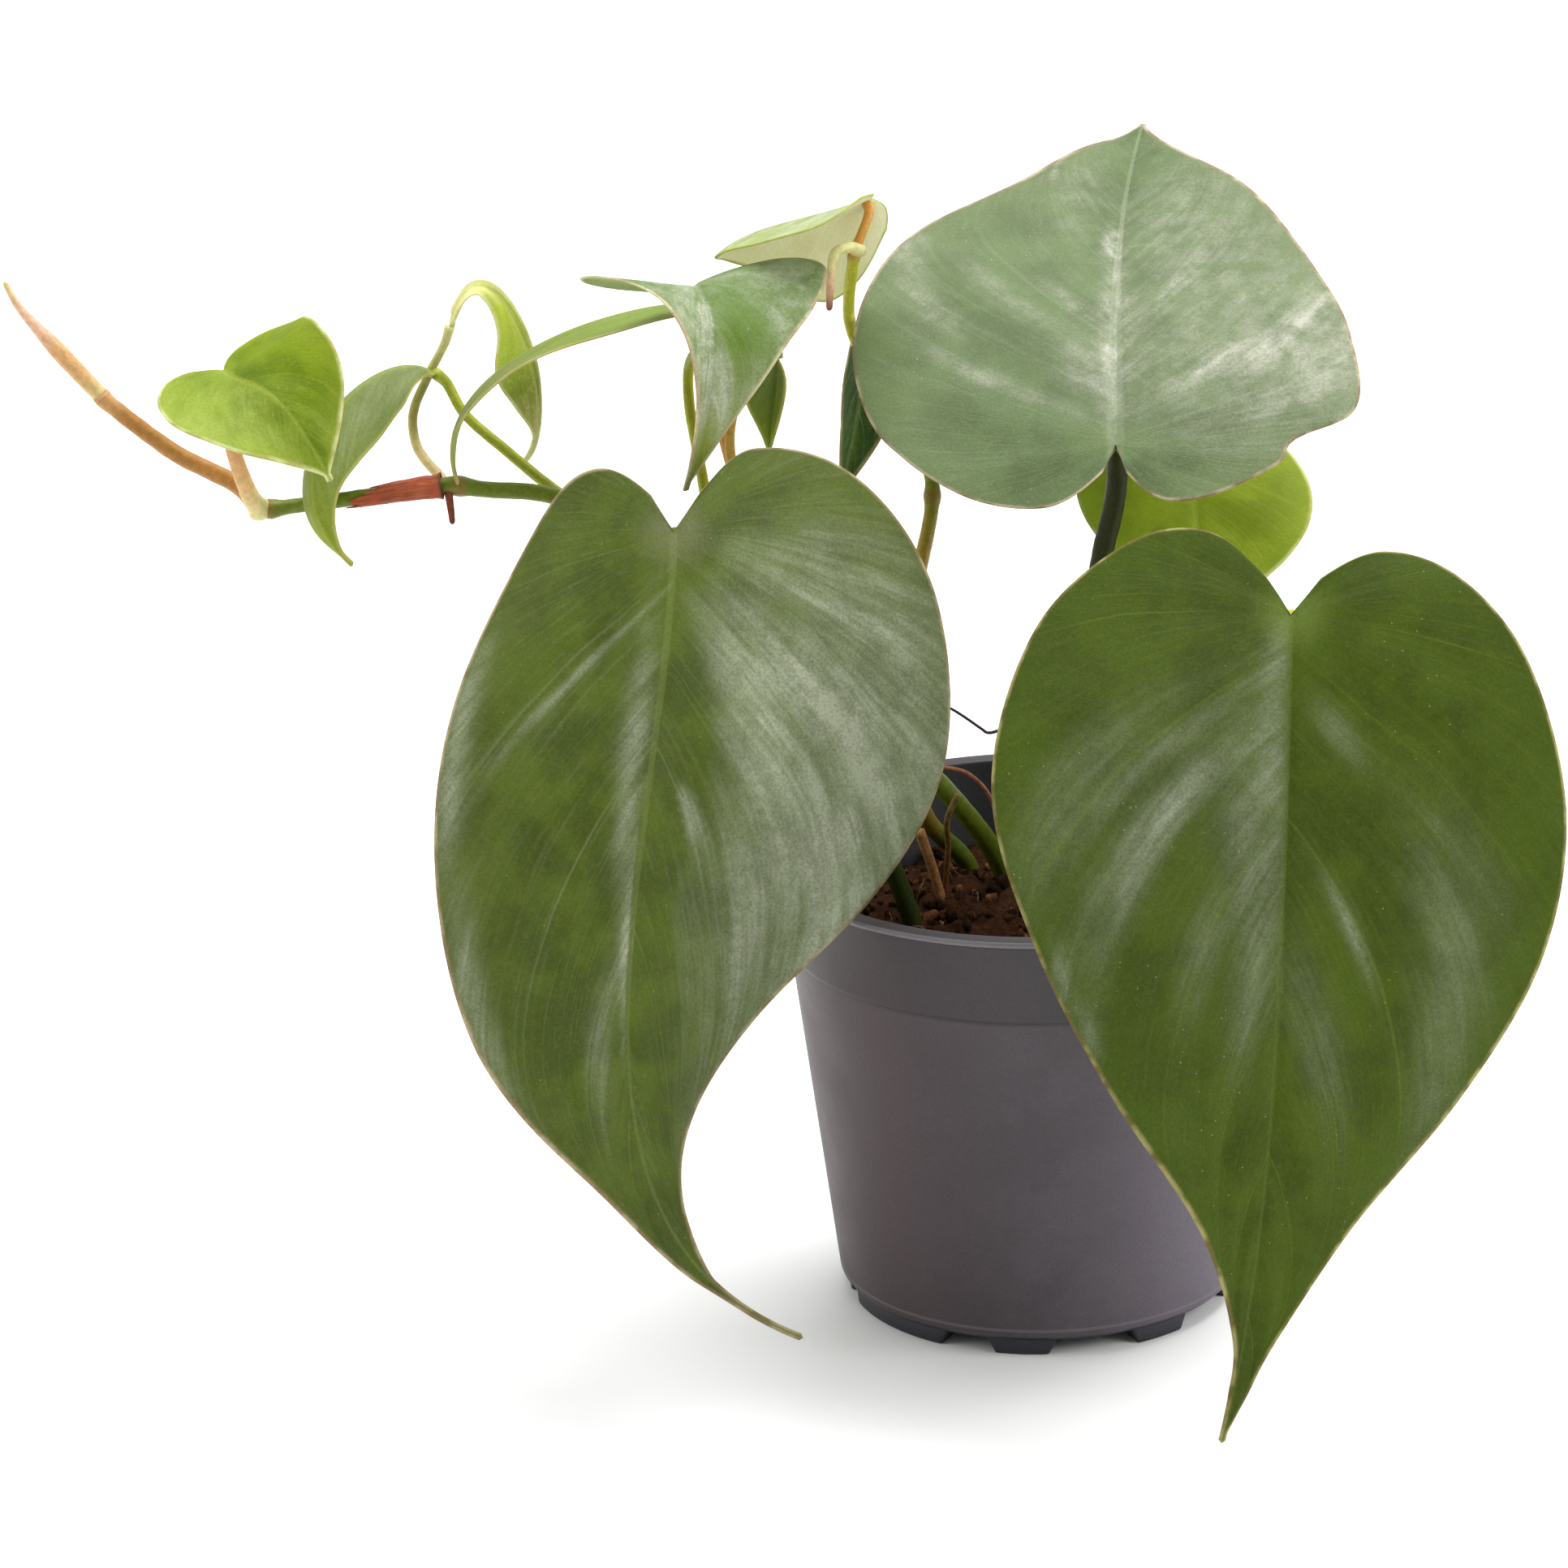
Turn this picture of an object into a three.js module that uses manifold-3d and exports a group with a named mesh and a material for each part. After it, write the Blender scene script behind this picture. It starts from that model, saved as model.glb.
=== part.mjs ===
import * as THREE from 'three';
import { mergeVertices } from 'three/addons/utils/BufferGeometryUtils.js';
import Module from 'manifold-3d';

// Potted heartleaf philodendron, millimetres, +Z up.
// The origin is the middle of the pot's underside, and -Y is the side that faces the viewer.

const wasm = await Module();
wasm.setup();

// Driving dimensions of the nursery pot
const RIM_DIAMETER = 60;
const POT_HEIGHT = 51.5;
const WALL = 0.8;
const LIP_OVERHANG = 1.0;
const LIP_HEIGHT = 0.8;
const COLLAR_HEIGHT = 10.3;
const COLLAR_STEP = 0.4;
const WALL_TAPER = 0.128;
const FOOT_HEIGHT = 1.8;
const CHAMFER = 0.9;
const FLOOR = 1.3;
const FEET = [[-98, -79], [-75, -28.5], [-17, 5], [27, 49], [71, 93], [115, 137], [159, 181], [203, 225]];
const FOOT_WIDTH = 2.4;
const FOOT_SLANT = 3;
const FOOT_SETBACK = 0.1;
const EDGE_BREAK = 0.3;
const FLOOR_FILLET = 1;
const GATE_PAD_RADIUS = 4.5;
const DRAIN_HOLES = 6;
const DRAIN_RADIUS = 2.2;
const DRAIN_CIRCLE = 11.5;
const MERGE = 0.5;

// Driving dimensions of the plant
const GAP = 0.3;
const SOIL_LEVEL = 42;
const MOUND_HEIGHT = 1.1;
const CRUMB_HEIGHT = 0.35;
const BLADE_THICKNESS = 0.7;
const PETIOLE_RUN = 3;
const PETIOLE_INSET = 0.4;
const ARCH_RUN = 1.2;
const SHEATH_OUTSIDE = [1.55, 1.25];
const SHEATH_BORE = [1.12, 1.05];
const SHEATH_SLIT = 0.8;
const SHEATH_SLANT = 35;

// Colours read from the photograph
const COLOURS = {
  pot: 0x67616a,
  soil: 0x36241b,
  leafDark: 0x4f6f2c,
  leafGrey: 0x86a383,
  leafYoung: 0x94b045,
  leafPale: 0xc9d27e,
  stem: 0x76862f,
  petioleDark: 0x2f4426,
  petioleOrange: 0xcf9a4c,
  sheath: 0xb5653a,
  shoot: 0xc08a52,
  root: 0x6d4630,
};

const rad = THREE.MathUtils.degToRad;
const lerp = THREE.MathUtils.lerp;
const vec = (p) => new THREE.Vector3(...p);

// Closed meshes and their cuts
function closedSolid(geometry) {
  const bare = geometry.clone();
  bare.deleteAttribute('normal');
  bare.deleteAttribute('uv');
  const welded = mergeVertices(bare, 1e-3);
  const vertProperties = new Float32Array(welded.attributes.position.array);
  const triVerts = new Uint32Array(welded.index.array);
  const solid = new wasm.Manifold(new wasm.Mesh({ numProp: 3, vertProperties, triVerts }));
  if (solid.volume() > 0) return solid;
  for (let i = 0; i < triVerts.length; i += 3) {
    [triVerts[i + 1], triVerts[i + 2]] = [triVerts[i + 2], triVerts[i + 1]];
  }
  return new wasm.Manifold(new wasm.Mesh({ numProp: 3, vertProperties, triVerts }));
}

function largestPiece(solid) {
  const pieces = solid.decompose();
  pieces.sort((a, b) => b.volume() - a.volume());
  return pieces[0];
}

function geometryOf(solid) {
  const mesh = solid.getMesh();
  const geometry = new THREE.BufferGeometry();
  const n = mesh.vertProperties.length / mesh.numProp;
  const positions = new Float32Array(n * 3);
  for (let i = 0; i < n; i++) {
    for (let c = 0; c < 3; c++) positions[i * 3 + c] = mesh.vertProperties[i * mesh.numProp + c];
  }
  geometry.setAttribute('position', new THREE.BufferAttribute(positions, 3));
  geometry.setIndex(new THREE.BufferAttribute(new Uint32Array(mesh.triVerts), 1));
  geometry.computeVertexNormals();
  return geometry;
}

// The pot: a turned thin wall with collar and lip, moulded feet, gate pad and drain holes
const COLLAR_TOP_RADIUS = RIM_DIAMETER / 2 - LIP_OVERHANG;
const collarRadius = (z) => COLLAR_TOP_RADIUS - WALL_TAPER * (POT_HEIGHT - z);
const bodyRadius = (z) => collarRadius(z) - COLLAR_STEP;
const innerRadius = (z) => bodyRadius(z) - WALL;

function turned(profile, segments) {
  const geometry = new THREE.LatheGeometry(profile.map(([r, z]) => new THREE.Vector2(r, z)), segments);
  return geometry.rotateX(Math.PI / 2);
}

// A foot is a block on an arc whose two ends slant in towards the ground
function footGeometry(outer, inner, from, to) {
  const shape = new THREE.Shape();
  shape.absarc(0, 0, outer, from, to, false);
  shape.absarc(0, 0, inner, to, from, true);
  shape.closePath();
  const foot = new THREE.ExtrudeGeometry(shape, {
    depth: FOOT_HEIGHT + MERGE,
    bevelEnabled: false,
    curveSegments: Math.ceil((to - from) / rad(6)),
  });
  const middle = (from + to) / 2;
  const shrink = 1 - (2 * rad(FOOT_SLANT)) / (to - from);
  const at = foot.attributes.position;
  for (let i = 0; i < at.count; i++) {
    if (at.getZ(i) > 0) continue;
    const radius = Math.hypot(at.getX(i), at.getY(i));
    let turn = Math.atan2(at.getY(i), at.getX(i)) - middle;
    turn = middle + shrink * Math.atan2(Math.sin(turn), Math.cos(turn));
    at.setXYZ(i, radius * Math.cos(turn), radius * Math.sin(turn), 0);
  }
  return foot;
}

function potSolid() {
  const lipBase = POT_HEIGHT - LIP_HEIGHT;
  const collarBase = POT_HEIGHT - COLLAR_HEIGHT;
  const chamferTop = FOOT_HEIGHT + CHAMFER;
  const floorTop = FOOT_HEIGHT + FLOOR;
  const rim = RIM_DIAMETER / 2;
  const profile = [
    [0, FOOT_HEIGHT],
    [bodyRadius(chamferTop) - CHAMFER, FOOT_HEIGHT],
    [bodyRadius(chamferTop), chamferTop],
    [bodyRadius(collarBase), collarBase],
    [collarRadius(collarBase), collarBase + COLLAR_STEP],
    [collarRadius(lipBase), lipBase],
    [rim, lipBase + EDGE_BREAK],
    [rim, POT_HEIGHT - EDGE_BREAK],
    [rim - EDGE_BREAK, POT_HEIGHT],
    [innerRadius(POT_HEIGHT) + EDGE_BREAK, POT_HEIGHT],
    [innerRadius(POT_HEIGHT), POT_HEIGHT - EDGE_BREAK],
    [innerRadius(floorTop + FLOOR_FILLET), floorTop + FLOOR_FILLET],
    [innerRadius(floorTop) - FLOOR_FILLET, floorTop],
    [0, floorTop],
  ];
  let pot = closedSolid(turned(profile, 48));

  const outer = bodyRadius(chamferTop) - CHAMFER - FOOT_SETBACK;
  const inner = outer - FOOT_WIDTH;
  for (const [from, to] of FEET) {
    pot = pot.add(closedSolid(footGeometry(outer, inner, rad(from - 90), rad(to - 90))));
  }

  const pad = new THREE.CylinderGeometry(GATE_PAD_RADIUS, GATE_PAD_RADIUS, FOOT_HEIGHT + MERGE, 24);
  pad.rotateX(Math.PI / 2);
  pad.translate(0, 0, (FOOT_HEIGHT + MERGE) / 2);
  pot = pot.add(closedSolid(pad));

  for (let i = 0; i < DRAIN_HOLES; i++) {
    const a = (i / DRAIN_HOLES) * 2 * Math.PI;
    const hole = new THREE.CylinderGeometry(DRAIN_RADIUS, DRAIN_RADIUS, 4 * FOOT_HEIGHT, 16);
    hole.rotateX(Math.PI / 2);
    hole.translate(DRAIN_CIRCLE * Math.cos(a), DRAIN_CIRCLE * Math.sin(a), FOOT_HEIGHT);
    pot = pot.subtract(closedSolid(hole));
  }
  return pot;
}

// A stem, petiole, root or sheath: a round limb that tapers along a smooth path
function limbGeometry({ path, radius, sides = 8, step = 3.4 }, grow = 0) {
  const curve = new THREE.CatmullRomCurve3(path.map(vec), false, 'centripetal');
  const rings = Math.max(4, Math.ceil(curve.getLength() / step));
  const frames = curve.computeFrenetFrames(rings, false);
  const positions = [];
  const index = [];
  for (let i = 0; i <= rings; i++) {
    const t = i / rings;
    const centre = curve.getPointAt(t);
    if (i === 0) centre.addScaledVector(frames.tangents[0], -grow);
    if (i === rings) centre.addScaledVector(frames.tangents[rings], grow);
    const r = lerp(radius[0], radius[1], t) + grow;
    for (let j = 0; j < sides; j++) {
      const a = (j / sides) * 2 * Math.PI;
      const p = centre.clone();
      p.addScaledVector(frames.normals[i], r * Math.cos(a));
      p.addScaledVector(frames.binormals[i], r * Math.sin(a));
      positions.push(p.x, p.y, p.z);
    }
  }
  for (let i = 0; i < rings; i++) {
    for (let j = 0; j < sides; j++) {
      const a = i * sides + j;
      const b = i * sides + ((j + 1) % sides);
      index.push(a, b, a + sides, b, b + sides, a + sides);
    }
  }
  const last = rings * sides;
  for (let j = 1; j < sides - 1; j++) {
    index.push(0, j + 1, j);
    index.push(last, last + j, last + j + 1);
  }
  const geometry = new THREE.BufferGeometry();
  geometry.setAttribute('position', new THREE.Float32BufferAttribute(positions, 3));
  geometry.setIndex(index);
  return geometry;
}

// The heart-shaped blade.
// Each half is given by its breadth at eleven stations along the midrib, from the notch, round the
// basal lobe and down to the drip tip. Stations are fractions of the midrib's length.
const STATIONS = [0, -0.048, -0.1, -0.075, 0.035, 0.22, 0.4, 0.575, 0.735, 0.87, 0.945, 1];
const HEART = [0, 0.1, 0.33, 0.64, 0.88, 1, 0.955, 0.76, 0.47, 0.2, 0.06, 0];
const NOTCH_BREADTH = 0.3;
const FAN_END = 3;
const TAPER_END = 5;
const TAPER_POWER = 1.3;
const SLANT_POWER = 1.5;
const LEAST_BREADTH = 0.4;
const MOST_SLANT = 1.2;
const LEAST_SLANT = 0.25;
const CREASE = 1.2;

const FINE_MESH = { lines: 20, rows: 3 };
const COARSE_MESH = { lines: 10, rows: 2 };

const scaled = (half) => HEART.map((u) => u * half);
const listed = (half, notch) => [0, notch * half[0], ...half, 0];
const breadths = (half, notch) => (Array.isArray(half) ? listed(half, notch) : scaled(half));

// Catmull-Rom value at position k of a list
function splineAt(list, k) {
  const last = list.length - 1;
  const i = Math.min(Math.floor(k), last - 1);
  const t = k - i;
  const at = (n) => {
    if (n < 0) return 2 * list[0] - list[1];
    if (n > last) return 2 * list[last] - list[last - 1];
    return list[n];
  };
  const [a, b, c, d] = [at(i - 1), at(i), at(i + 1), at(i + 2)];
  return 0.5 * (2 * b + (c - a) * t + (2 * a - 5 * b + 4 * c - d) * t * t + (3 * b - a - 3 * c + d) * t ** 3);
}

// The midrib is a Bezier curve, carried on behind the notch so that the lobes follow it
function midribOf(leaf) {
  const points = leaf.midrib.map(vec);
  const curve = new THREE.CubicBezierCurve3(...points);
  const samples = 50;
  const start = -0.25;
  const table = [];
  let length = 0;
  let zero = 0;
  for (let i = 0; i <= samples; i++) {
    const t = start + (1 - start) * (i / samples);
    const point = curve.getPoint(t);
    if (i > 0) length += point.distanceTo(table[i - 1].point);
    if (Math.abs(t) < 1e-9) zero = length;
    const [o, c1, c2, e] = points;
    const tangent = new THREE.Vector3();
    tangent.addScaledVector(c1.clone().sub(o), (1 - t) ** 2);
    tangent.addScaledVector(c2.clone().sub(c1), 2 * t * (1 - t));
    tangent.addScaledVector(e.clone().sub(c2), t * t);
    table.push({ point, tangent: tangent.normalize(), s: length });
  }
  for (const row of table) row.s -= zero;
  return { table, length: length - zero };
}

function bladeFrame(leaf, rib, v) {
  const s = v * rib.length;
  let i = 1;
  while (i < rib.table.length - 1 && rib.table[i].s < s) i++;
  const [a, b] = [rib.table[i - 1], rib.table[i]];
  const f = (s - a.s) / (b.s - a.s);
  const point = a.point.clone().lerp(b.point, f);
  const tangent = a.tangent.clone().lerp(b.tangent, f).normalize();
  const face = vec(leaf.face[0]).normalize().lerp(vec(leaf.face[1]).normalize(), v);
  const normal = face.addScaledVector(tangent, -face.dot(tangent)).normalize();
  const side = new THREE.Vector3().crossVectors(tangent, normal);
  return { point, tangent, normal, side };
}

// A point of the margin: each half rises at its fold angle and bends by its curl angle to there
function marginPoint(leaf, rib, half, breadth, v) {
  const { point, normal, side } = bladeFrame(leaf, rib, v);
  const reach = Math.max(...leaf.outline[half]);
  const fold = rad(leaf.fold[half]);
  const curl = rad(leaf.curl[half]);
  const angle = fold + (curl * breadth) / reach;
  const across = (reach / curl) * (Math.sin(angle) - Math.sin(fold));
  const rise = (reach / curl) * (Math.cos(fold) - Math.cos(angle));
  return point.addScaledVector(side, half === 0 ? across : -across).addScaledVector(normal, rise);
}

// Points of one line across a half, from its foot on the midrib to the margin, bowed by the curl,
// each with the way the upper side faces there
function bladeLine(leaf, rib, half, { breadth, foot, edge }, rows) {
  const start = bladeFrame(leaf, rib, foot).point;
  const end = marginPoint(leaf, rib, half, breadth, edge);
  const turn = (rad(leaf.curl[half]) * breadth) / Math.max(...leaf.outline[half]);
  const bow = (-turn * breadth) / 2;
  const line = [];
  for (let r = 1; r <= rows; r++) {
    const f = r / rows;
    const { normal, side } = bladeFrame(leaf, rib, lerp(foot, edge, f));
    const point = start.clone().lerp(end, f).addScaledVector(normal, bow * f * (1 - f));
    const tilt = rad(leaf.fold[half]) * Math.min(1, (breadth * f) / CREASE) + turn * f;
    normal.multiplyScalar(Math.cos(tilt)).addScaledVector(side, (half === 0 ? -1 : 1) * Math.sin(tilt));
    line.push({ point, normal });
  }
  return line;
}

// Where the line across a half at station k meets the margin and leaves the midrib. The lines fan
// out from the notch to the basal lobe, then slant forward, less so where the blade is narrow. A
// leaf with no lobes tapers to its base instead.
function leafLines(leaf, rib) {
  const last = STATIONS.length - 1;
  const pointed = Math.max(0, 1 - 2 * leaf.lobe);
  const slant = pointed > 0 ? LEAST_SLANT : MOST_SLANT;
  const breadth = (half, k) => {
    let made = splineAt(leaf.outline[half], k);
    for (const [side, at, width, depth] of leaf.dents ?? []) {
      if (side === half) made -= depth * Math.exp(-(((k - at) / width) ** 2));
    }
    return Math.max(LEAST_BREADTH, made);
  };
  const edge = (k) => {
    const station = splineAt(STATIONS, k);
    const lobed = station < 0 ? station * leaf.lobe : station;
    if (k >= TAPER_END) return lobed;
    const tapered = STATIONS[TAPER_END] * (k / TAPER_END) ** TAPER_POWER;
    return lobed + pointed * (tapered - Math.max(0, station));
  };
  const foot = (k) => {
    if (k <= 1 || (k <= FAN_END && pointed === 0)) return 0;
    const slanted = Math.max(0, (k - FAN_END) / (last - FAN_END)) ** SLANT_POWER;
    const narrow = Math.min(breadth(0, k), breadth(1, k)) - LEAST_BREADTH;
    return Math.max(slanted, edge(k) - (slant * narrow) / rib.length);
  };
  const line = (half, k) => ({ breadth: breadth(half, k), foot: foot(k), edge: edge(k) });
  return { foot, line };
}

function bladeGeometry(leaf, thickness) {
  const rib = midribOf(leaf);
  const { lines, rows } = leaf;
  const last = STATIONS.length - 1;
  const points = [];
  const faces = [];
  const add = (p) => points.push(p) - 1;
  const { foot, line } = leafLines(leaf, rib);
  const base = add(bladeFrame(leaf, rib, 0));
  const tip = add(bladeFrame(leaf, rib, 1));
  const ribs = [];
  const stationOf = (i) => 1 + (i * (last - 1)) / lines;
  for (let i = 0; i < lines; i++) {
    const v = foot(stationOf(i));
    ribs.push(v <= 0 ? base : add(bladeFrame(leaf, rib, v)));
  }
  const borders = [];
  for (const half of [0, 1]) {
    const grid = [];
    for (let i = 0; i < lines; i++) {
      grid.push([ribs[i], ...bladeLine(leaf, rib, half, line(half, stationOf(i)), rows).map(add)]);
    }
    const put = (a, b, c) => {
      if (a !== b && b !== c && c !== a) faces.push(half === 0 ? [a, b, c] : [a, c, b]);
    };
    for (let c = 0; c < grid.length; c++) {
      const next = grid[c + 1];
      for (let r = 0; r < rows; r++) {
        if (next) {
          put(grid[c][r], grid[c][r + 1], next[r + 1]);
          put(grid[c][r], next[r + 1], next[r]);
        } else {
          put(grid[c][r], grid[c][r + 1], tip);
        }
      }
    }
    borders.push([...grid[0].slice(1), ...grid.slice(1).map((column) => column[rows])]);
  }
  const border = [base, ...borders[0], tip, ...borders[1].reverse()];
  const positions = [];
  for (const way of [0.5, -0.5]) {
    for (const { point, normal } of points) {
      positions.push(...point.clone().addScaledVector(normal, way * thickness));
    }
  }
  const under = points.length;
  const index = [];
  for (const [a, b, c] of faces) index.push(a, b, c, a + under, c + under, b + under);
  for (let i = 0; i < border.length; i++) {
    const a = border[i];
    const b = border[(i + 1) % border.length];
    index.push(b, a, a + under, b, a + under, b + under);
  }
  const geometry = new THREE.BufferGeometry();
  geometry.setAttribute('position', new THREE.Float32BufferAttribute(positions, 3));
  geometry.setIndex(index);
  return geometry;
}

// The leaves: midrib as notch, two pulls and tip; face as the way the upper side looks at the notch
// and at the tip; half lists the two halves' breadths, or one number for the common heart shape; dents
// lists waves in the margin, each by half, station, width in stations and depth.
const LEAVES = {
  leaf_front_left: {
    midrib: [[-37.8, -20, 94.5], [-38, -39, 69], [-56, -43, 25], [-25.4, -42, 11.5]],
    face: [[-0.05, -0.86, 0.51], [0.45, -0.85, 0.26]],
    half: [[8, 13.5, 18.5, 22.5, 22, 16.5, 5.2, 1.1, 0.3], [9.5, 20, 30, 34.5, 29, 16.5, 5.3, 0.5, 0.1]],
    fold: [-11, -22],
    curl: [-15, -8],
    lobe: 1.03,
    notch: 0.32,
    large: true,
    colour: COLOURS.leafDark,
  },
  leaf_front_right: {
    midrib: [[26.5, -36, 90], [25, -52, 70.5], [25.7, -58, 36], [18.6, -61, 7.4]],
    face: [[-0.06, -0.82, 0.57], [0.35, -0.93, 0.12]],
    half: [[9, 17.5, 26.5, 30.5, 26, 17.5, 7, 1.2, 0.4], [9.5, 17.3, 25.5, 31, 29.5, 21.5, 10.5, 3.5, 1.6]],
    fold: [10, -6],
    curl: [-12, -17],
    lobe: 0.97,
    large: true,
    colour: COLOURS.leafDark,
  },
  leaf_top: {
    midrib: [[8.8, -8, 99.7], [8.9, 5.5, 111], [9, 24.5, 114.5], [12.7, 48, 119.3]],
    face: [[-0.06, -0.64, 0.77], [0.02, -0.08, 1]],
    half: [[6, 14, 25.3, 25.3, 22.2, 18, 12.7, 6, 1.8], [7.6, 16.8, 25, 28.3, 27, 22.2, 12.2, 6, 2.1]],
    fold: [10, 5],
    curl: [-16, -13],
    lobe: 1.23,
    notch: 0.19,
    dents: [[0, 3.65, 0.22, 3]],
    large: true,
    colour: COLOURS.leafGrey,
  },
  leaf_back_right: {
    midrib: [[16.6, 16, 89.9], [18.8, 8.2, 86], [17, 2.1, 81], [18.8, -2, 75.5]],
    face: [[0.06, -0.5, 0.86], [0.07, -0.65, 0.76]],
    half: [13.2, 12.8],
    fold: [6, 2],
    curl: [6, 3],
    lobe: 1,
    colour: COLOURS.leafYoung,
  },
  leaf_crown: {
    midrib: [[-17.2, 9, 122.2], [-22.1, 9, 119.8], [-29.9, 8.5, 120], [-33.9, 8, 116]],
    face: [[0, 0.72, 0.69], [0, 0.52, 0.85]],
    half: [[1.5, 2.8, 5, 9.5, 11.5, 10, 7, 4, 2], [1.5, 3, 6, 9.5, 10, 8.5, 6, 3.5, 1.6]],
    fold: [-26, -30],
    curl: [-6, -6],
    lobe: 0.5,
    run: 1,
    colour: COLOURS.leafYoung,
  },
  leaf_centre: {
    midrib: [[-35.9, 0, 115.2], [-34.5, -6, 117], [-31.5, -15, 113], [-36.9, -11, 96]],
    face: [[-0.09, -0.6, 0.8], [0.5, -0.8, 0.28]],
    half: [[2.5, 5.5, 12.5, 6.5, 3.2, 1.6, 1, 0.6, 0.3], [5, 10, 14.3, 12, 8.2, 5.2, 3, 1.3, 0.5]],
    fold: [25, -4],
    curl: [4, -20],
    lobe: 0.8,
    colour: COLOURS.leafGrey,
  },
  leaf_far_left: {
    midrib: [[-85.9, -4, 107.7], [-82.3, -9.5, 106.8], [-79.6, -12.4, 110.2], [-74.3, -12, 97.8]],
    face: [[-0.11, -0.65, 0.75], [0.21, -0.91, 0.35]],
    half: [9.7, 9.7],
    fold: [11, -2],
    curl: [13, 5],
    lobe: 1.02,
    colour: COLOURS.leafYoung,
  },
  leaf_left_hanging: {
    midrib: [[-64.4, 10, 102.8], [-69.6, 6.5, 109], [-84.3, -4, 96.7], [-73, -5, 86]],
    face: [[-0.29, -0.29, 0.91], [-0.55, -0.82, 0.15]],
    half: [[1, 2, 3.6, 5.8, 7.6, 7, 4.3, 1.8, 0.5], [0.7, 1.2, 2.4, 4.4, 5.4, 4.6, 2.8, 1.2, 0.4]],
    fold: [-33, -34],
    curl: [-24, -21],
    lobe: 0.2,
    arches: true,
    colour: COLOURS.leafYoung,
  },
  leaf_left_curled: {
    midrib: [[-62.9, 12, 107.4], [-58.3, 12, 122.2], [-49.8, 12, 96.7], [-55.7, 12.5, 91.6]],
    face: [[-0.65, -0.6, 0.4], [0.6, -0.75, 0.1]],
    half: [[0.8, 0.9, 1, 1.3, 2.3, 4.4, 3, 0.5, 0.4], [0.8, 0.8, 0.8, 0.8, 0.8, 0.8, 0.6, 0.5, 0.4]],
    fold: [20, -15],
    curl: [5, 5],
    lobe: 0,
    arches: true,
    colour: COLOURS.leafPale,
  },
  leaf_left_folded: {
    midrib: [[-34.4, 5, 111.9], [-46, 5, 112.6], [-66.4, 3.6, 104.5], [-61.8, 0.6, 93.2]],
    face: [[-0.41, 0.14, 0.9], [-0.9, -0.1, -0.3]],
    half: [[1.5, 3.2, 4.8, 6, 5.8, 4.8, 3.4, 1.8, 0.7], [1.5, 3.2, 4.8, 6, 5.8, 4.8, 3.4, 1.8, 0.7]],
    fold: [-14, -6],
    curl: [-5, -5],
    lobe: 0.5,
    colour: COLOURS.leafYoung,
  },
  leaf_back_hanging: {
    midrib: [[-18, 26, 101.8], [-18.6, 24, 96], [-19.6, 20, 90.5], [-21.6, 18, 85]],
    face: [[-0.3, -0.85, 0.42], [-0.3, -0.9, 0.3]],
    half: [2.6, 4],
    fold: [-12, -12],
    curl: [-10, -10],
    lobe: 0.9,
    colour: COLOURS.leafDark,
  },
  leaf_back_young: {
    midrib: [[-27.4, 7, 105.2], [-27.2, 6.5, 102], [-28, 5, 99], [-28.4, 4, 95.6]],
    face: [[-0.15, -0.88, 0.45], [-0.15, -0.95, 0.28]],
    half: [[0.8, 1.7, 2.8, 3.7, 3.7, 2.9, 1.8, 0.9, 0.5], [0.7, 1, 1.4, 1.7, 1.8, 1.6, 1.1, 0.7, 0.5]],
    fold: [10, 45],
    curl: [5, 5],
    lobe: 0,
    arches: true,
    colour: COLOURS.leafYoung,
  },
};
for (const leaf of Object.values(LEAVES)) {
  leaf.outline = leaf.half.map((half) => breadths(half, leaf.notch ?? NOTCH_BREADTH));
  Object.assign(leaf, leaf.large ? FINE_MESH : COARSE_MESH);
}

// Where a petiole meets its blade: just inside the notch, coming up square to the underside, or
// just short of the notch in line with the midrib on a leaf that arches on from its stalk
function petioleEnd(name, radius) {
  const leaf = LEAVES[name];
  const { point, tangent, normal } = bladeFrame(leaf, midribOf(leaf), 0);
  const end = point.addScaledVector(tangent, leaf.arches ? -2 * GAP : radius + PETIOLE_INSET);
  const approach = end.clone();
  if (leaf.arches) approach.addScaledVector(tangent, -ARCH_RUN);
  else approach.addScaledVector(normal, -(leaf.run ?? PETIOLE_RUN));
  return [approach.toArray(), end.toArray()];
}

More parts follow.
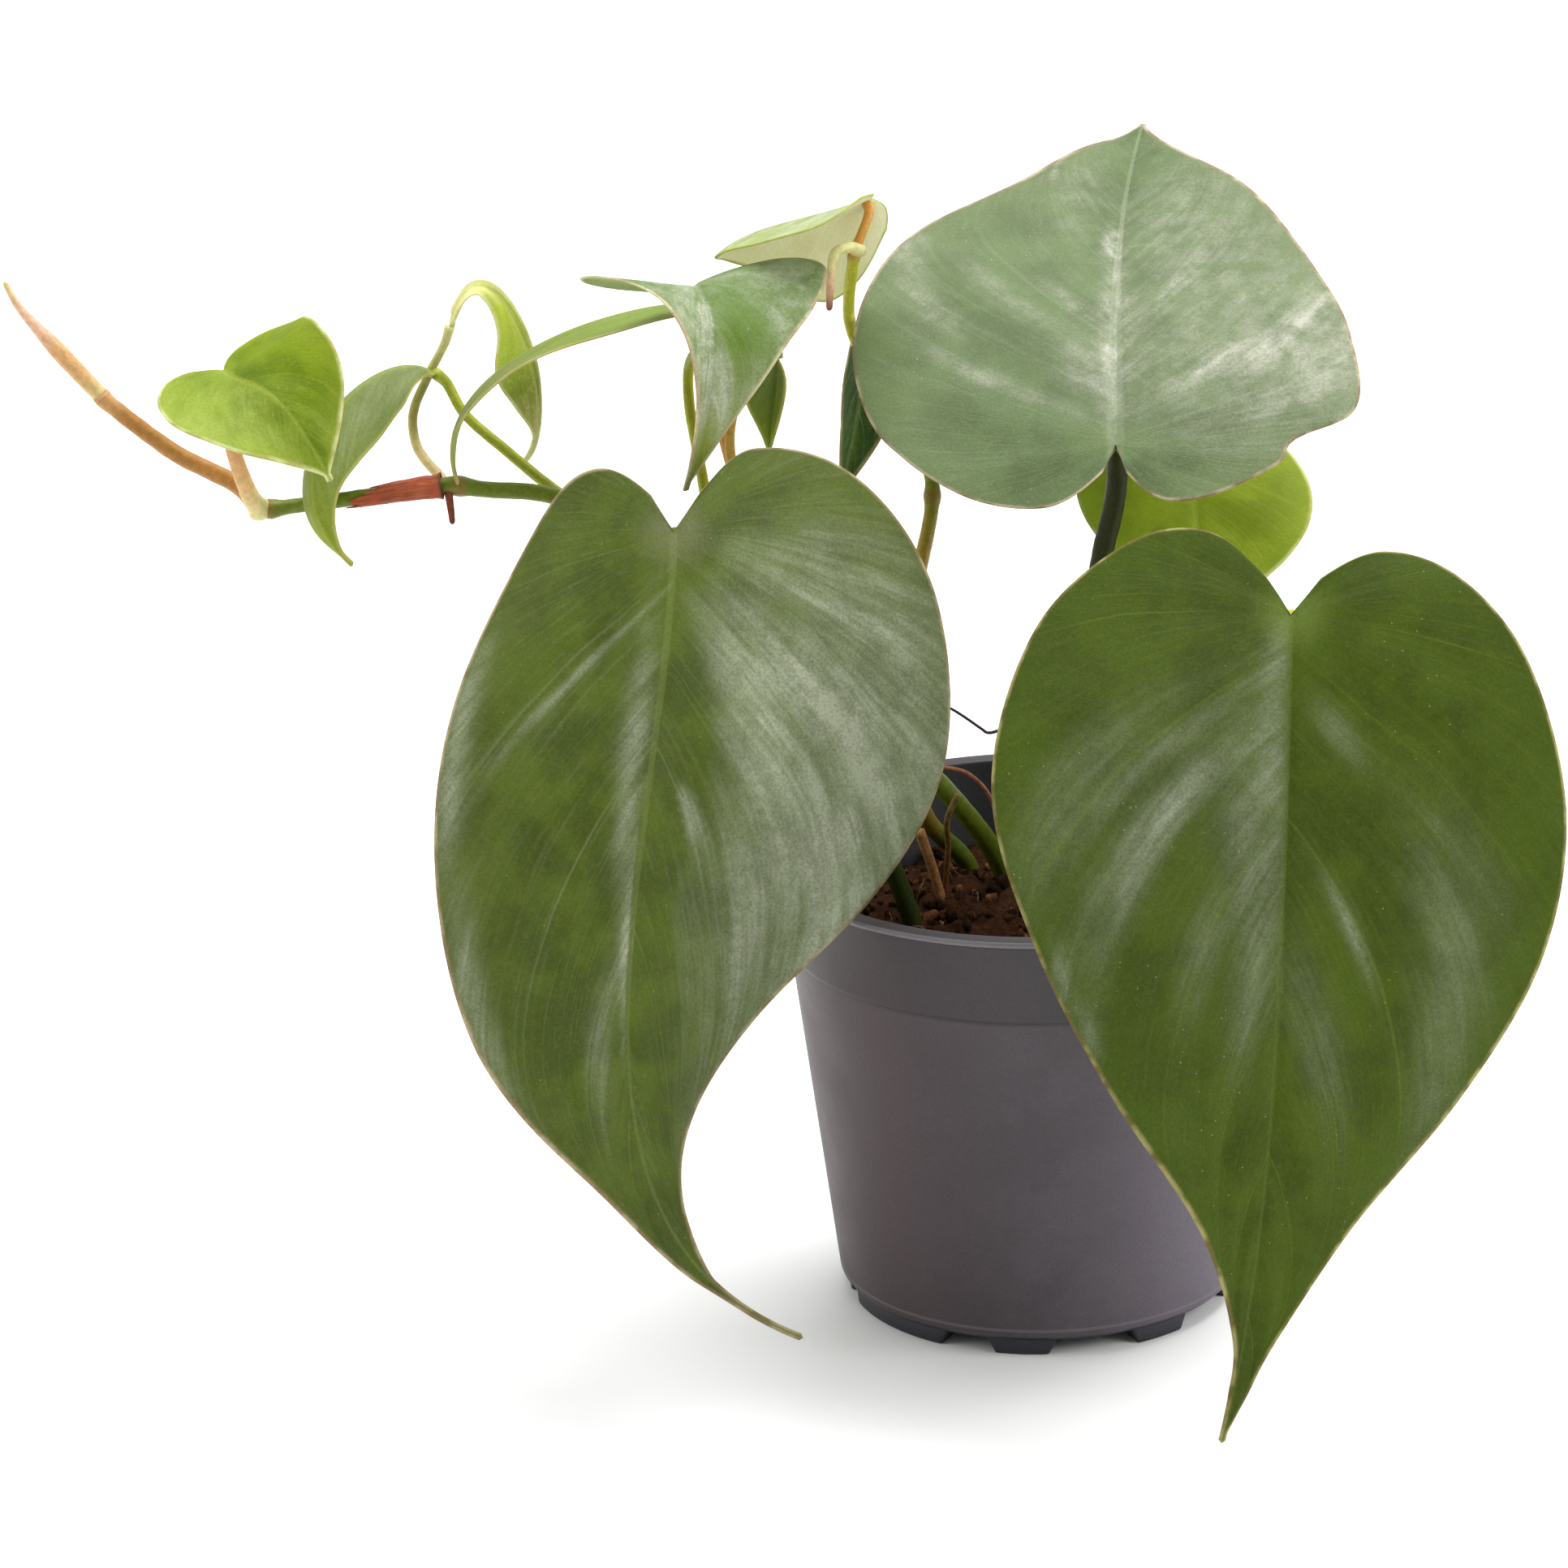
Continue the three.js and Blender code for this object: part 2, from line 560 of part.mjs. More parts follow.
// Stems, petioles, sheaths and roots: path points from the root end; from names the node it grows
// from, blade the leaf that it carries, and soil marks one that stands in the soil.
const LIMBS = {
  stem_trailing: {
    path: [
      [-2.6, 17.5, 32], [-3.6, 15.5, 42], [-10.2, 8, 55.3], [-24.4, 6.5, 70], [-39, 4, 83.3],
      [-51.4, 2, 91.3], [-58.8, 2, 92.2], [-63.3, 2, 92.7], [-71.5, 2, 91.6], [-83.4, 2, 90.1],
    ],
    radius: [1.2, 0.8],
    soil: true,
    colour: COLOURS.stem,
  },
  stem_upright: {
    path: [
      [-7, 19.5, 32], [-7.6, 18.5, 42], [-12.2, 15.2, 49.1], [-14.8, 11.4, 60.7], [-13.7, 6, 75.9],
      [-12.2, 6, 82.4], [-11, 7, 88.5], [-11.3, 8.5, 92], [-16, 11.5, 100], [-19.5, 11.7, 107],
      [-19.2, 8, 114.5], [-18.8, 7, 117],
    ],
    radius: [1.1, 0.6],
    soil: true,
    colour: COLOURS.stem,
  },
  petiole_front_left: {
    path: [[-12.6, -1.2, 32], [-13.5, -1.6, 42], [-15.8, -2.5, 50], [-24, -5, 70], [-34, -9, 87]],
    radius: [1.1, 0.9],
    soil: true,
    blade: 'leaf_front_left',
    colour: COLOURS.petioleDark,
  },
  petiole_front_right: {
    path: [[6, 1, 32], [6.5, 0, 42], [11, -6, 60], [20, -20, 79], [25.5, -29, 85]],
    radius: [1.2, 1],
    soil: true,
    blade: 'leaf_front_right',
    colour: COLOURS.petioleDark,
  },
  petiole_top: {
    path: [[2.6, 10.5, 32], [3, 9.5, 42], [5, 4, 62], [7.1, -1, 83.6], [8.8, -3, 92.5]],
    radius: [1.4, 1.1],
    soil: true,
    blade: 'leaf_top',
    colour: COLOURS.petioleDark,
  },
  petiole_back_right: {
    path: [[8.4, 14, 32], [8.8, 14.5, 42], [11, 17, 62], [14.5, 19.5, 79]],
    radius: [0.9, 0.7],
    soil: true,
    blade: 'leaf_back_right',
    colour: COLOURS.stem,
  },
  petiole_crown: {
    path: [[-18.8, 7, 116.8], [-18.6, 6.6, 117.6]],
    radius: [0.5, 0.45],
    from: 'stem_upright',
    blade: 'leaf_crown',
    colour: COLOURS.petioleOrange,
  },
  petiole_centre: {
    path: [[-27, 6.3, 72.7], [-30, 7.2, 84], [-32.5, 7.8, 92.5], [-33.8, 7.6, 98], [-35.2, 5.5, 106]],
    radius: [0.7, 0.6],
    from: 'stem_trailing',
    blade: 'leaf_centre',
    colour: COLOURS.stem,
  },
  petiole_far_left: {
    path: [[-83.3, 2, 90.2], [-84.2, -0.6, 93], [-85.5, -1.6, 98], [-86.4, -1.8, 102.6]],
    radius: [0.95, 0.55],
    from: 'stem_trailing',
    blade: 'leaf_far_left',
    colour: COLOURS.petioleOrange,
  },
  petiole_left_hanging: {
    path: [[-46, 2.9, 88], [-51.3, 5, 90.8], [-57, 7.4, 94.9], [-61.5, 9.2, 98.6]],
    radius: [0.65, 0.55],
    from: 'stem_trailing',
    blade: 'leaf_left_hanging',
    colour: COLOURS.stem,
  },
  petiole_left_curled: {
    path: [
      [-63.3, 2, 92.7], [-63.9, 6, 92.2], [-66.9, 11.5, 94.2], [-67.3, 12.9, 97.2], [-65.3, 11.6, 102.2],
    ],
    radius: [0.6, 0.45],
    from: 'stem_trailing',
    blade: 'leaf_left_curled',
    colour: COLOURS.petioleOrange,
  },
  petiole_left_folded: {
    path: [[-34, 4.8, 78.8], [-35.8, 8.4, 91], [-37.1, 9.4, 99.5], [-37, 9.2, 103.5]],
    radius: [0.65, 0.55],
    from: 'stem_trailing',
    blade: 'leaf_left_folded',
    colour: COLOURS.stem,
  },
  petiole_back_hanging: {
    path: [[-14, 10.3, 97], [-13.5, 18, 98], [-15, 24, 98.5]],
    radius: [0.55, 0.45],
    from: 'stem_upright',
    blade: 'leaf_back_hanging',
    colour: COLOURS.stem,
  },
  petiole_back_young: {
    path: [
      [-14.6, 9.4, 66], [-20, 5.2, 75], [-29.3, 4.4, 87.5], [-32.4, 4.4, 94], [-32.2, 6, 99.5],
      [-29.5, 8, 104.5],
    ],
    step: 1.2,
    radius: [0.7, 0.5],
    from: 'stem_upright',
    blade: 'leaf_back_young',
    colour: COLOURS.petioleOrange,
  },
  shoot_internode: {
    path: [[-83.4, 2, 90.1], [-85.3, 2.6, 92.5], [-92.2, 2.6, 96.5], [-99.6, 3, 102.5]],
    radius: [0.95, 0.85],
    from: 'stem_trailing',
    also: 'petiole_far_left',
    colour: COLOURS.shoot,
  },
  shoot_sheath: {
    path: [[-99.9, 3, 102.9], [-105.3, 4, 108.8], [-108.6, 5, 112.6], [-109.9, 6, 114.8]],
    radius: [0.85, 0.35],
    from: 'shoot_internode',
    colour: COLOURS.shoot,
  },
  bud_sheath: {
    path: [
      [-18.2, 6.2, 117.2], [-19.4, 3.6, 118.3], [-20.8, 2.8, 118], [-21.3, 2.6, 115.6], [-21.6, 2.7, 111.6],
    ],
    radius: [0.7, 0.35],
    from: 'stem_upright',
    also: 'petiole_crown',
    colour: COLOURS.leafPale,
  },
  root_arch: {
    path: [[-14.6, 9, 67], [-8.9, 5, 65.4], [-6, 2.2, 64.3], [-5.2, 1, 64.2], [-1, -5, 68]],
    radius: [0.32, 0.3],
    from: 'stem_upright',
    sides: 6,
    colour: COLOURS.root,
  },
  root_orange: {
    path: [
      [-12.6, 19.6, 53.2], [-9.6, 19.5, 53.4], [-7.4, 19, 52.8], [-5.1, 19, 50], [-4, 20.6, 42],
      [-4.2, 21, 37],
    ],
    radius: [0.35, 0.3],
    soil: true,
    sides: 6,
    colour: COLOURS.root,
  },
  root_olive: {
    path: [[-8.6, 6.2, 55.2], [-9.8, 6.5, 52.3], [-9.8, 9, 48], [-10.2, 11.5, 42], [-10.2, 12, 37]],
    radius: [0.35, 0.3],
    soil: true,
    sides: 6,
    colour: COLOURS.root,
  },
  root_brown: {
    path: [[-12.9, 6, 51], [-11.6, 7, 46.5], [-10.6, 7.4, 42], [-10.2, 7.6, 36]],
    radius: [0.75, 0.6],
    soil: true,
    colour: COLOURS.root,
  },
  root_stub: {
    path: [[-63, 1.9, 92.6], [-62.7, 0.6, 91], [-62.5, 0.2, 88.9]],
    radius: [0.5, 0.3],
    from: 'stem_trailing',
    sides: 6,
    colour: COLOURS.root,
  },
};

// Soil: a filled plug with a lumpy top, resting just clear of the pot's wall and floor
function soilGeometry() {
  const segments = 32;
  const rings = 5;
  const bottom = FOOT_HEIGHT + FLOOR + GAP;
  const positions = [0, 0, bottom];
  const index = [];
  const ring = (r, height) => {
    const first = positions.length / 3;
    for (let i = 0; i < segments; i++) {
      const a = (i / segments) * 2 * Math.PI;
      positions.push(r * Math.cos(a), r * Math.sin(a), height(r * Math.cos(a), r * Math.sin(a)));
    }
    return first;
  };
  const rim = innerRadius(SOIL_LEVEL - 1) - GAP;
  const lumps = (x, y) => {
    const mound = MOUND_HEIGHT * Math.cos((Math.hypot(x, y) / rim) * Math.PI * 0.5);
    const crumbs = Math.sin(1.3 * x + 0.7 * y) * Math.cos(1.1 * y - 0.5 * x) + 0.6 * Math.sin(2.3 * y + 1.9);
    return SOIL_LEVEL - 2 * GAP + mound + CRUMB_HEIGHT * crumbs;
  };
  const list = [
    ring(innerRadius(bottom) - FLOOR_FILLET - GAP, () => bottom),
    ring(innerRadius(bottom + FLOOR_FILLET) - GAP, () => bottom + FLOOR_FILLET),
  ];
  for (let i = rings; i >= 1; i--) {
    list.push(ring((rim * i) / rings, lumps));
  }
  for (let i = 0; i < segments; i++) {
    const j = (i + 1) % segments;
    index.push(0, list[0] + j, list[0] + i);
    for (let k = 0; k + 1 < list.length; k++) {
      const [a, b, c, d] = [list[k] + i, list[k] + j, list[k + 1] + i, list[k + 1] + j];
      index.push(a, b, c, b, d, c);
    }
  }
  const top = positions.length / 3;
  positions.push(0, 0, lumps(0, 0));
  const inner = list[list.length - 1];
  for (let i = 0; i < segments; i++) index.push(inner + i, inner + ((i + 1) % segments), top);
  const geometry = new THREE.BufferGeometry();
  geometry.setAttribute('position', new THREE.Float32BufferAttribute(positions, 3));
  geometry.setIndex(index);
  return geometry;
}

// Dry sheath: a sleeve round the trailing stem beside its second node, slit along the back
function drySheath() {
  const path = [[-64.4, 2, 92.6], [-67.5, 2, 92.25], [-71.5, 2, 91.6], [-74.4, 2, 91.2]];
  const outer = closedSolid(limbGeometry({ path, radius: SHEATH_OUTSIDE, sides: 12 }));
  const bore = closedSolid(limbGeometry({ path, radius: SHEATH_BORE, sides: 12 }, 0.01));
  const slit = new THREE.BoxGeometry(14, 2, SHEATH_SLIT);
  slit.translate(-69, 3.5, 92);
  const slant = new THREE.BoxGeometry(4, 5, 5);
  slant.rotateY(rad(SHEATH_SLANT));
  slant.translate(-74.9, 2, 93.6);
  return largestPiece(outer.subtract(bore).subtract(closedSolid(slit)).subtract(closedSolid(slant)));
}

// Assembly
const plant = new THREE.Group();
plant.name = 'potted_philodendron';

function place(name, solid, colour, roughness, anchor = [0, 0, 0]) {
  const geometry = geometryOf(solid);
  geometry.translate(-anchor[0], -anchor[1], -anchor[2]);
  const material = new THREE.MeshStandardMaterial({ color: colour, roughness, metalness: 0 });
  const mesh = new THREE.Mesh(geometry, material);
  mesh.name = name;
  mesh.position.set(...anchor);
  plant.add(mesh);
}

place('pot', potSolid(), COLOURS.pot, 0.55);

const blades = {};
for (const [name, leaf] of Object.entries(LEAVES)) {
  blades[name] = closedSolid(bladeGeometry(leaf, BLADE_THICKNESS));
  place(name, blades[name], leaf.colour, 0.5, leaf.midrib[0]);
}

const solids = {};
let soil = closedSolid(soilGeometry());
for (const [name, limb] of Object.entries(LIMBS)) {
  const path = limb.blade ? [...limb.path, ...petioleEnd(limb.blade, limb.radius[1])] : limb.path;
  const shape = { ...limb, path };
  let solid = closedSolid(limbGeometry(shape));
  if (limb.blade) {
    const fat = bladeGeometry(LEAVES[limb.blade], BLADE_THICKNESS + 2 * GAP);
    solid = solid.subtract(closedSolid(fat));
  }
  for (const neighbour of [limb.from, limb.also]) {
    if (neighbour) solid = solid.subtract(solids[neighbour].fat);
  }
  if (limb.soil) soil = soil.subtract(closedSolid(limbGeometry(shape, GAP)));
  solids[name] = { fat: closedSolid(limbGeometry(shape, GAP)) };
  place(name, largestPiece(solid), limb.colour, 0.55, path[0]);
}
place('soil', soil, COLOURS.soil, 0.95);
place('dry_sheath', drySheath(), COLOURS.sheath, 0.7);

export default plant;
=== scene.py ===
import math
import random

import bmesh
import bpy
import numpy as np
from mathutils import Euler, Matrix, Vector, noise


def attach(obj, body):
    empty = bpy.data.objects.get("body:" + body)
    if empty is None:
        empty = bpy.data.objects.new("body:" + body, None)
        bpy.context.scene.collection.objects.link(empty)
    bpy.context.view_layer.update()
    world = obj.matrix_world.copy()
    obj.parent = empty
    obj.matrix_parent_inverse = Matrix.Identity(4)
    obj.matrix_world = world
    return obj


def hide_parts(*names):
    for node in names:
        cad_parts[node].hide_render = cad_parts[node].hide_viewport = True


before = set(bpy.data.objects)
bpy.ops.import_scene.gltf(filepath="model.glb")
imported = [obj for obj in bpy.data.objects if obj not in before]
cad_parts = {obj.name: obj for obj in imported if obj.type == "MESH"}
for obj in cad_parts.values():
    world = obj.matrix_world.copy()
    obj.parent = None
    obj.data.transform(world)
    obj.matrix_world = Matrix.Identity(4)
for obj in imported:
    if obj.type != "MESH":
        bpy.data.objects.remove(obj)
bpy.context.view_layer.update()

# Potted heartleaf philodendron: fine meshes, finishes, light and camera.
# Shapes are worked out in millimetres and stored in metres. The plant stands at the origin of the
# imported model, +Z up, and -Y is the side that faces the viewer.

MM = 0.001
random.seed(7)

# The photograph's camera: the point it looks at, and where that point falls in the square picture
PICTURE = 1932
TARGET = Vector((0, 0, 25 * MM))
TARGET_PIXEL = (1280.5, 1318.0)
CAMERA_DISTANCE = 0.9
CAMERA_ELEVATION = math.radians(22.0)
CAMERA_ROLL = math.radians(-0.6)
PIXELS_PER_METRE = 11150
SENSOR = 36.0


def make_camera():
    data = bpy.data.cameras.new("camera")
    camera = bpy.data.objects.new("camera", data)
    bpy.context.scene.collection.objects.link(camera)
    back = Vector((0, -math.cos(CAMERA_ELEVATION), math.sin(CAMERA_ELEVATION)))
    camera.location = TARGET + back * CAMERA_DISTANCE
    turn = Euler((math.pi / 2 - CAMERA_ELEVATION, 0, 0)).to_quaternion()
    camera.rotation_mode = "QUATERNION"
    camera.rotation_quaternion = turn @ Euler((0, 0, CAMERA_ROLL)).to_quaternion()
    data.sensor_width = SENSOR
    data.lens = CAMERA_DISTANCE * PIXELS_PER_METRE * SENSOR / PICTURE
    data.shift_x = -(TARGET_PIXEL[0] / PICTURE - 0.5)
    data.shift_y = TARGET_PIXEL[1] / PICTURE - 0.5
    data.clip_start = 0.05
    data.clip_end = 20
    bpy.context.scene.camera = camera


make_camera()


# Colours are written as 0-255 screen values
def colour(red, green, blue):
    def linear(c):
        c /= 255
        return c / 12.92 if c <= 0.04045 else ((c + 0.055) / 1.055) ** 2.4

    return (linear(red), linear(green), linear(blue), 1.0)


# Materials
class Finish:
    """One material's nodes, built a value at a time."""

    def __init__(self, name, **constants):
        self.material = bpy.data.materials.new(name)
        self.material.use_nodes = True
        self.tree = self.material.node_tree
        self.tree.nodes.clear()
        self.shader = self.tree.nodes.new("ShaderNodeBsdfPrincipled")
        for socket, value in constants.items():
            self.shader.inputs[socket.replace("_", " ")].default_value = value
        self.node("OutputMaterial", {"Surface": self.shader.outputs[0]})
        point = self.node("TexCoord")["Object"]
        self.place = self.node("VectorMath", {0: point, "Scale": 1 / MM}, operation="SCALE")[0]

    def put(self, socket, value):
        if isinstance(value, bpy.types.NodeSocket):
            self.tree.links.new(value, socket)
        else:
            socket.default_value = value

    def node(self, kind, values=None, **settings):
        """The outputs of a new node, whose inputs take numbers or the outputs of other nodes."""
        node = self.tree.nodes.new("ShaderNode" + kind)
        for name, setting in settings.items():
            setattr(node, name, setting)
        for socket, value in (values or {}).items():
            self.put(node.inputs[socket], value)
        return node.outputs

    def attribute(self, name, output="Fac"):
        return self.node("Attribute", attribute_name=name)[output]

    def axes(self):
        """The point's place in mm, as x, y and z."""
        return self.node("SeparateXYZ", {0: self.place})

    def math(self, operation, a, b=0.0):
        return self.node("Math", {0: a, 1: b}, operation=operation)[0]

    def times(self, a, b):
        return self.math("MULTIPLY", a, b)

    def plus(self, a, b):
        return self.math("ADD", a, b)

    def minus(self, a, b):
        return self.math("SUBTRACT", a, b)

    def ramp(self, value, low, high, to_low=0.0, to_high=1.0):
        """A smooth step of value from low to high."""
        values = {"Value": value, "From Min": low, "From Max": high, "To Min": to_low, "To Max": to_high}
        return self.node("MapRange", values, interpolation_type="SMOOTHSTEP")[0]

    def band(self, value, low, rise, fall, high):
        """1 where value is between rise and fall, 0 outside low and high."""
        return self.times(self.ramp(value, low, rise), self.ramp(value, fall, high, 1.0, 0.0))

    def vector(self, x, y, z):
        return self.node("CombineXYZ", {0: x, 1: y, 2: z})[0]

    def noise(self, scale, detail=3.0, roughness=0.55, at=None):
        at = self.place if at is None else at
        values = {"Vector": at, "Scale": scale, "Detail": detail, "Roughness": roughness}
        return self.node("TexNoise", values)["Fac"]

    def cells(self, scale):
        return self.node("TexVoronoi", {"Vector": self.place, "Scale": scale})["Distance"]

    def mix(self, factor, a, b, blend="MIX"):
        return self.node("Mix", {0: factor, 6: a, 7: b}, data_type="RGBA", blend_type=blend)[2]

    def tone(self, base, amount):
        """The base colour made lighter or darker by amount, which is 1 where it stays."""
        return self.mix(1.0, base, self.vector(amount, amount, amount), "MULTIPLY")

    def bump(self, height, millimetres, strength=1.0):
        values = {"Height": height, "Distance": millimetres * MM, "Strength": strength}
        self.put(self.shader.inputs["Normal"], self.node("Bump", values)[0])

    def base(self, value):
        self.put(self.shader.inputs["Base Color"], value)

    def rough(self, value):
        self.put(self.shader.inputs["Roughness"], value)


def leaf_finish(name, look, length):
    """A blade: vein is the place on the midrib where the vein through a point starts, so its lines
    are the veins, and bloom is how silvery the blade is: partly a waxy coat, partly painted sheen."""
    f = Finish(
        name,
        Subsurface_Weight=look["glow"],
        Subsurface_Radius=(0.6 * MM, 1.0 * MM, 0.3 * MM),
        Subsurface_Scale=1.0,
        Specular_IOR_Level=look["gloss"],
    )
    across = f.attribute("across")
    breadth = f.attribute("breadth")
    way = f.attribute("way")
    upper = f.ramp(f.attribute("upper"), -0.3, 0.3)
    seed = f.plus(f.times(f.attribute("half"), 7.3), look["seed"])
    drawn = f.vector(f.times(f.attribute("vein"), 14.0), f.times(across, 2.5), seed)
    vein = f.plus(f.attribute("vein"), f.times(f.noise(1.0, 1, at=drawn), 0.02))

    def lines(spacing, narrow, wide):
        """1 on the lines that are spacing apart along the midrib, 0 between them; widths in mm."""
        distance = f.math("PINGPONG", f.minus(vein, VEIN_START), spacing / 2)
        return f.ramp(f.times(distance, length), narrow, wide, 1.0, 0.0)

    def brushed(fine, run, detail=3, roughness=0.6):
        """Noise drawn out along the veins; fine is lumps per mm across them."""
        at = f.vector(f.times(vein, length * fine), f.times(across, run), seed)
        return f.noise(1.0, detail, roughness, at=at)

    settle = f.ramp(f.attribute("from_notch"), 1.5, 10.0, 0.1, 1.0)
    fade = f.times(f.ramp(across, 0.75, 1.0, 1.0, 0.15), settle)
    main_veins = f.times(lines(VEIN_SPACING, 0.05, look["vein_width"]), fade)
    main_veins = f.times(main_veins, f.ramp(brushed(0.05, 2.0, 1), 0.3, 0.6, 0.35, 1.0))
    side_veins = f.times(lines(VEIN_SPACING / 4, 0.03, 0.2), fade)
    furrow = f.plus(f.times(lines(VEIN_SPACING, 0.0, 3.0), 0.6), f.times(side_veins, 0.25))
    furrow = f.times(furrow, settle)
    rib_width = f.ramp(way, 0.0, 0.75, look["rib_width"], 0.22)
    rib = f.ramp(f.math("DIVIDE", breadth, rib_width), 0.55, 1.1, 1.0, 0.0)
    hairs = brushed(1.3, 3.0, 3)
    streak = brushed(0.42, 2.2, 4)
    cloud = f.noise(0.14, 3)
    blotch = f.noise(0.32, 4, 0.65)
    grain = f.noise(3.6, 2, 0.6)
    speck = f.noise(1.7, 3, 0.65)
    near_base = f.ramp(f.attribute("from_notch"), 0.5, 3.5, 1.0, 0.0)

    # Upper side
    body = f.mix(f.ramp(cloud, 0.36, 0.64), look["deep"], look["main"])
    body = f.mix(f.times(f.ramp(across, 0.5, 1.0), 0.4), body, look["margin_tone"])
    if look["along"]:
        body = f.mix(look["along_show"], body, f.attribute("tint", "Color"))
    body = f.mix(f.times(f.ramp(speck, 0.5, 0.68), look["warm_show"]), body, look["warm"])
    body = f.mix(f.times(f.ramp(hairs, 0.5, 0.7), 0.1), body, look["vein"])
    # Painted sheen: silvery patches, partly a waxy coat and partly painted reflection, with an even painted
    # sheen all over
    silver = f.plus(f.attribute("bloom_and_sheen"), look["sheen_all"])
    for texture, low, high, least, most in (
        (streak, 0.3, 0.66, 0.45, 1.0), (blotch, 0.36, 0.62, look["blotch"], 1.1),
        (hairs, 0.3, 0.65, 0.8, 1.1), (grain, 0.3, 0.62, 0.84, 1.04),
    ):
        silver = f.times(silver, f.ramp(texture, low, high, least, most))
    body = f.mix(silver, body, look["silver"])
    body = f.mix(f.times(side_veins, look["vein_show"] * 0.12), body, look["vein"])
    body = f.mix(f.times(main_veins, look["vein_show"]), body, look["vein"])
    body = f.mix(f.times(rib, look["rib_show"]), body, look["rib"])
    body = f.mix(f.times(near_base, look["throat_show"]), body, look["throat"])
    flecks = f.ramp(f.cells(0.9), 0.04, 0.09, 1.0, 0.0)
    flecks = f.times(flecks, f.ramp(f.noise(0.11, 1), 0.52, 0.6))
    body = f.mix(f.times(flecks, 0.55), body, look["fleck"])

    # Underside, paler and more matt
    below = f.mix(f.ramp(cloud, 0.35, 0.65), look["under"], look["under_light"])
    below = f.mix(f.times(main_veins, 0.5), below, look["under_vein"])
    below = f.mix(f.times(rib, 0.7), below, look["under_vein"])
    surface = f.mix(upper, below, body)

    # The margin's thin pale line: a painted glow of light through the thin edge, darker in patches
    edge = f.ramp(f.attribute("inset"), 0.08, look["edge_width"], 1.0, 0.0)
    edge_tone = f.mix(f.ramp(f.noise(0.3, 2), 0.4, 0.6), look["edge"], look["edge_dark"])
    surface = f.mix(f.times(edge, look["edge_show"]), surface, edge_tone)
    surface = f.tone(surface, f.ramp(grain, 0.25, 0.75, 1 - look["grain"], 1 + look["grain"]))
    f.base(surface)

    rough = f.plus(look["rough"], f.times(f.ramp(speck, 0.3, 0.7), 0.14))
    f.rough(f.plus(rough, f.times(f.minus(1.0, upper), 0.15)))
    relief = f.minus(f.times(grain, 0.3), f.times(furrow, 0.5))
    relief = f.plus(relief, f.times(hairs, 0.35))
    relief = f.plus(relief, f.times(speck, 0.3))
    f.bump(relief, 0.12, 0.8)
    return f.material


VEIN_START = 0.05
VEIN_SPACING = 0.2


def variant(look, **changes):
    """Another look with some values changed: a tuple is a colour, and a list holds several."""
    made = dict(look)
    for key, value in changes.items():
        if isinstance(value, tuple):
            value = colour(*value)
        elif isinstance(value, list):
            value = [colour(*tone) for tone in value]
        made[key] = value
    return made


# sheen_all is an even painted sheen over the whole blade, and silver is the colour of the painted sheen
MATURE = variant(
    {}, seed=0.0, glow=0.04, gloss=0.12, rough=0.45, sheen_all=0.04, vein_show=0.2, vein_width=0.35,
    rib_show=0.3, rib_width=0.5, throat_show=0.3, edge_show=0.85, edge_width=0.5, blotch=0.8,
    along=None, along_show=0.85, warm_show=0.3, grain=0.11,
    deep=(58, 72, 12), main=(74, 90, 18), margin_tone=(76, 88, 28),
    warm=(92, 96, 24), vein=(136, 144, 106), rib=(118, 130, 72),
    silver=(160, 166, 142), throat=(138, 136, 106), fleck=(156, 160, 132),
    under=(98, 118, 72), under_light=(112, 132, 82), under_vein=(136, 150, 96),
    edge=(176, 158, 126), edge_dark=(136, 112, 82),
)
DEEP = variant(
    MATURE, seed=3.0, gloss=0.06, sheen_all=0.02, deep=(52, 66, 12), main=(62, 78, 14),
    margin_tone=(62, 78, 18), warm=(80, 84, 20), vein=(94, 110, 36),
    rib=(84, 100, 44), silver=(132, 138, 116), throat=(116, 134, 62),
    throat_show=0.35, edge=(158, 148, 98), edge_dark=(104, 92, 52), vein_show=0.3,
    rib_show=0.35, rib_width=0.45,
)
SHEEN = variant(
    MATURE, seed=5.0, gloss=0.2, rough=0.5, blotch=0.4, deep=(76, 93, 54), main=(89, 107, 65),
    margin_tone=(100, 114, 74), warm=(106, 120, 72), vein=(134, 148, 120),
    rib=(150, 160, 134), rib_width=1.1, rib_show=0.28, silver=(168, 168, 152),
    throat=(124, 142, 92), throat_show=0.3, fleck=(184, 178, 162),
    edge=(186, 168, 140), edge_dark=(134, 112, 88), sheen_all=0.03, vein_show=0.15,
)
CENTRE = variant(
    SHEEN, along=[(72, 100, 16), (72, 100, 10), (80, 106, 16), (118, 130, 72),
           (126, 134, 44), (128, 134, 24)],
    seed=9.0, glow=0.08, deep=(62, 92, 12), main=(82, 108, 22),
    margin_tone=(112, 130, 76), silver=(172, 176, 156), edge=(200, 190, 156),
    edge_dark=(170, 146, 116), under=(132, 146, 92), under_light=(150, 162, 110),
    rib_width=0.45, rib_show=0.1, vein_width=0.22, sheen_all=0.02,
)
YOUNG = variant(
    MATURE, seed=13.0, glow=0.1, rough=0.5, grain=0.07, vein_show=0.15, vein_width=0.22, rib_show=0.35,
    rib_width=0.4, sheen_all=0.02, throat_show=0.3, deep=(114, 130, 18),
    main=(136, 152, 28), margin_tone=(144, 158, 48), warm=(136, 144, 30),
    vein=(148, 160, 60), rib=(146, 158, 60), silver=(158, 166, 104),
    throat=(150, 160, 70), fleck=(168, 170, 110), under=(136, 156, 70),
    under_light=(152, 168, 88), under_vein=(168, 180, 116), edge=(190, 190, 124),
    edge_dark=(168, 160, 92),
)
SUNNY = variant(
    YOUNG, seed=15.0, deep=(86, 108, 8), main=(112, 134, 14), silver=(144, 160, 68),
    edge=(206, 208, 150),
)
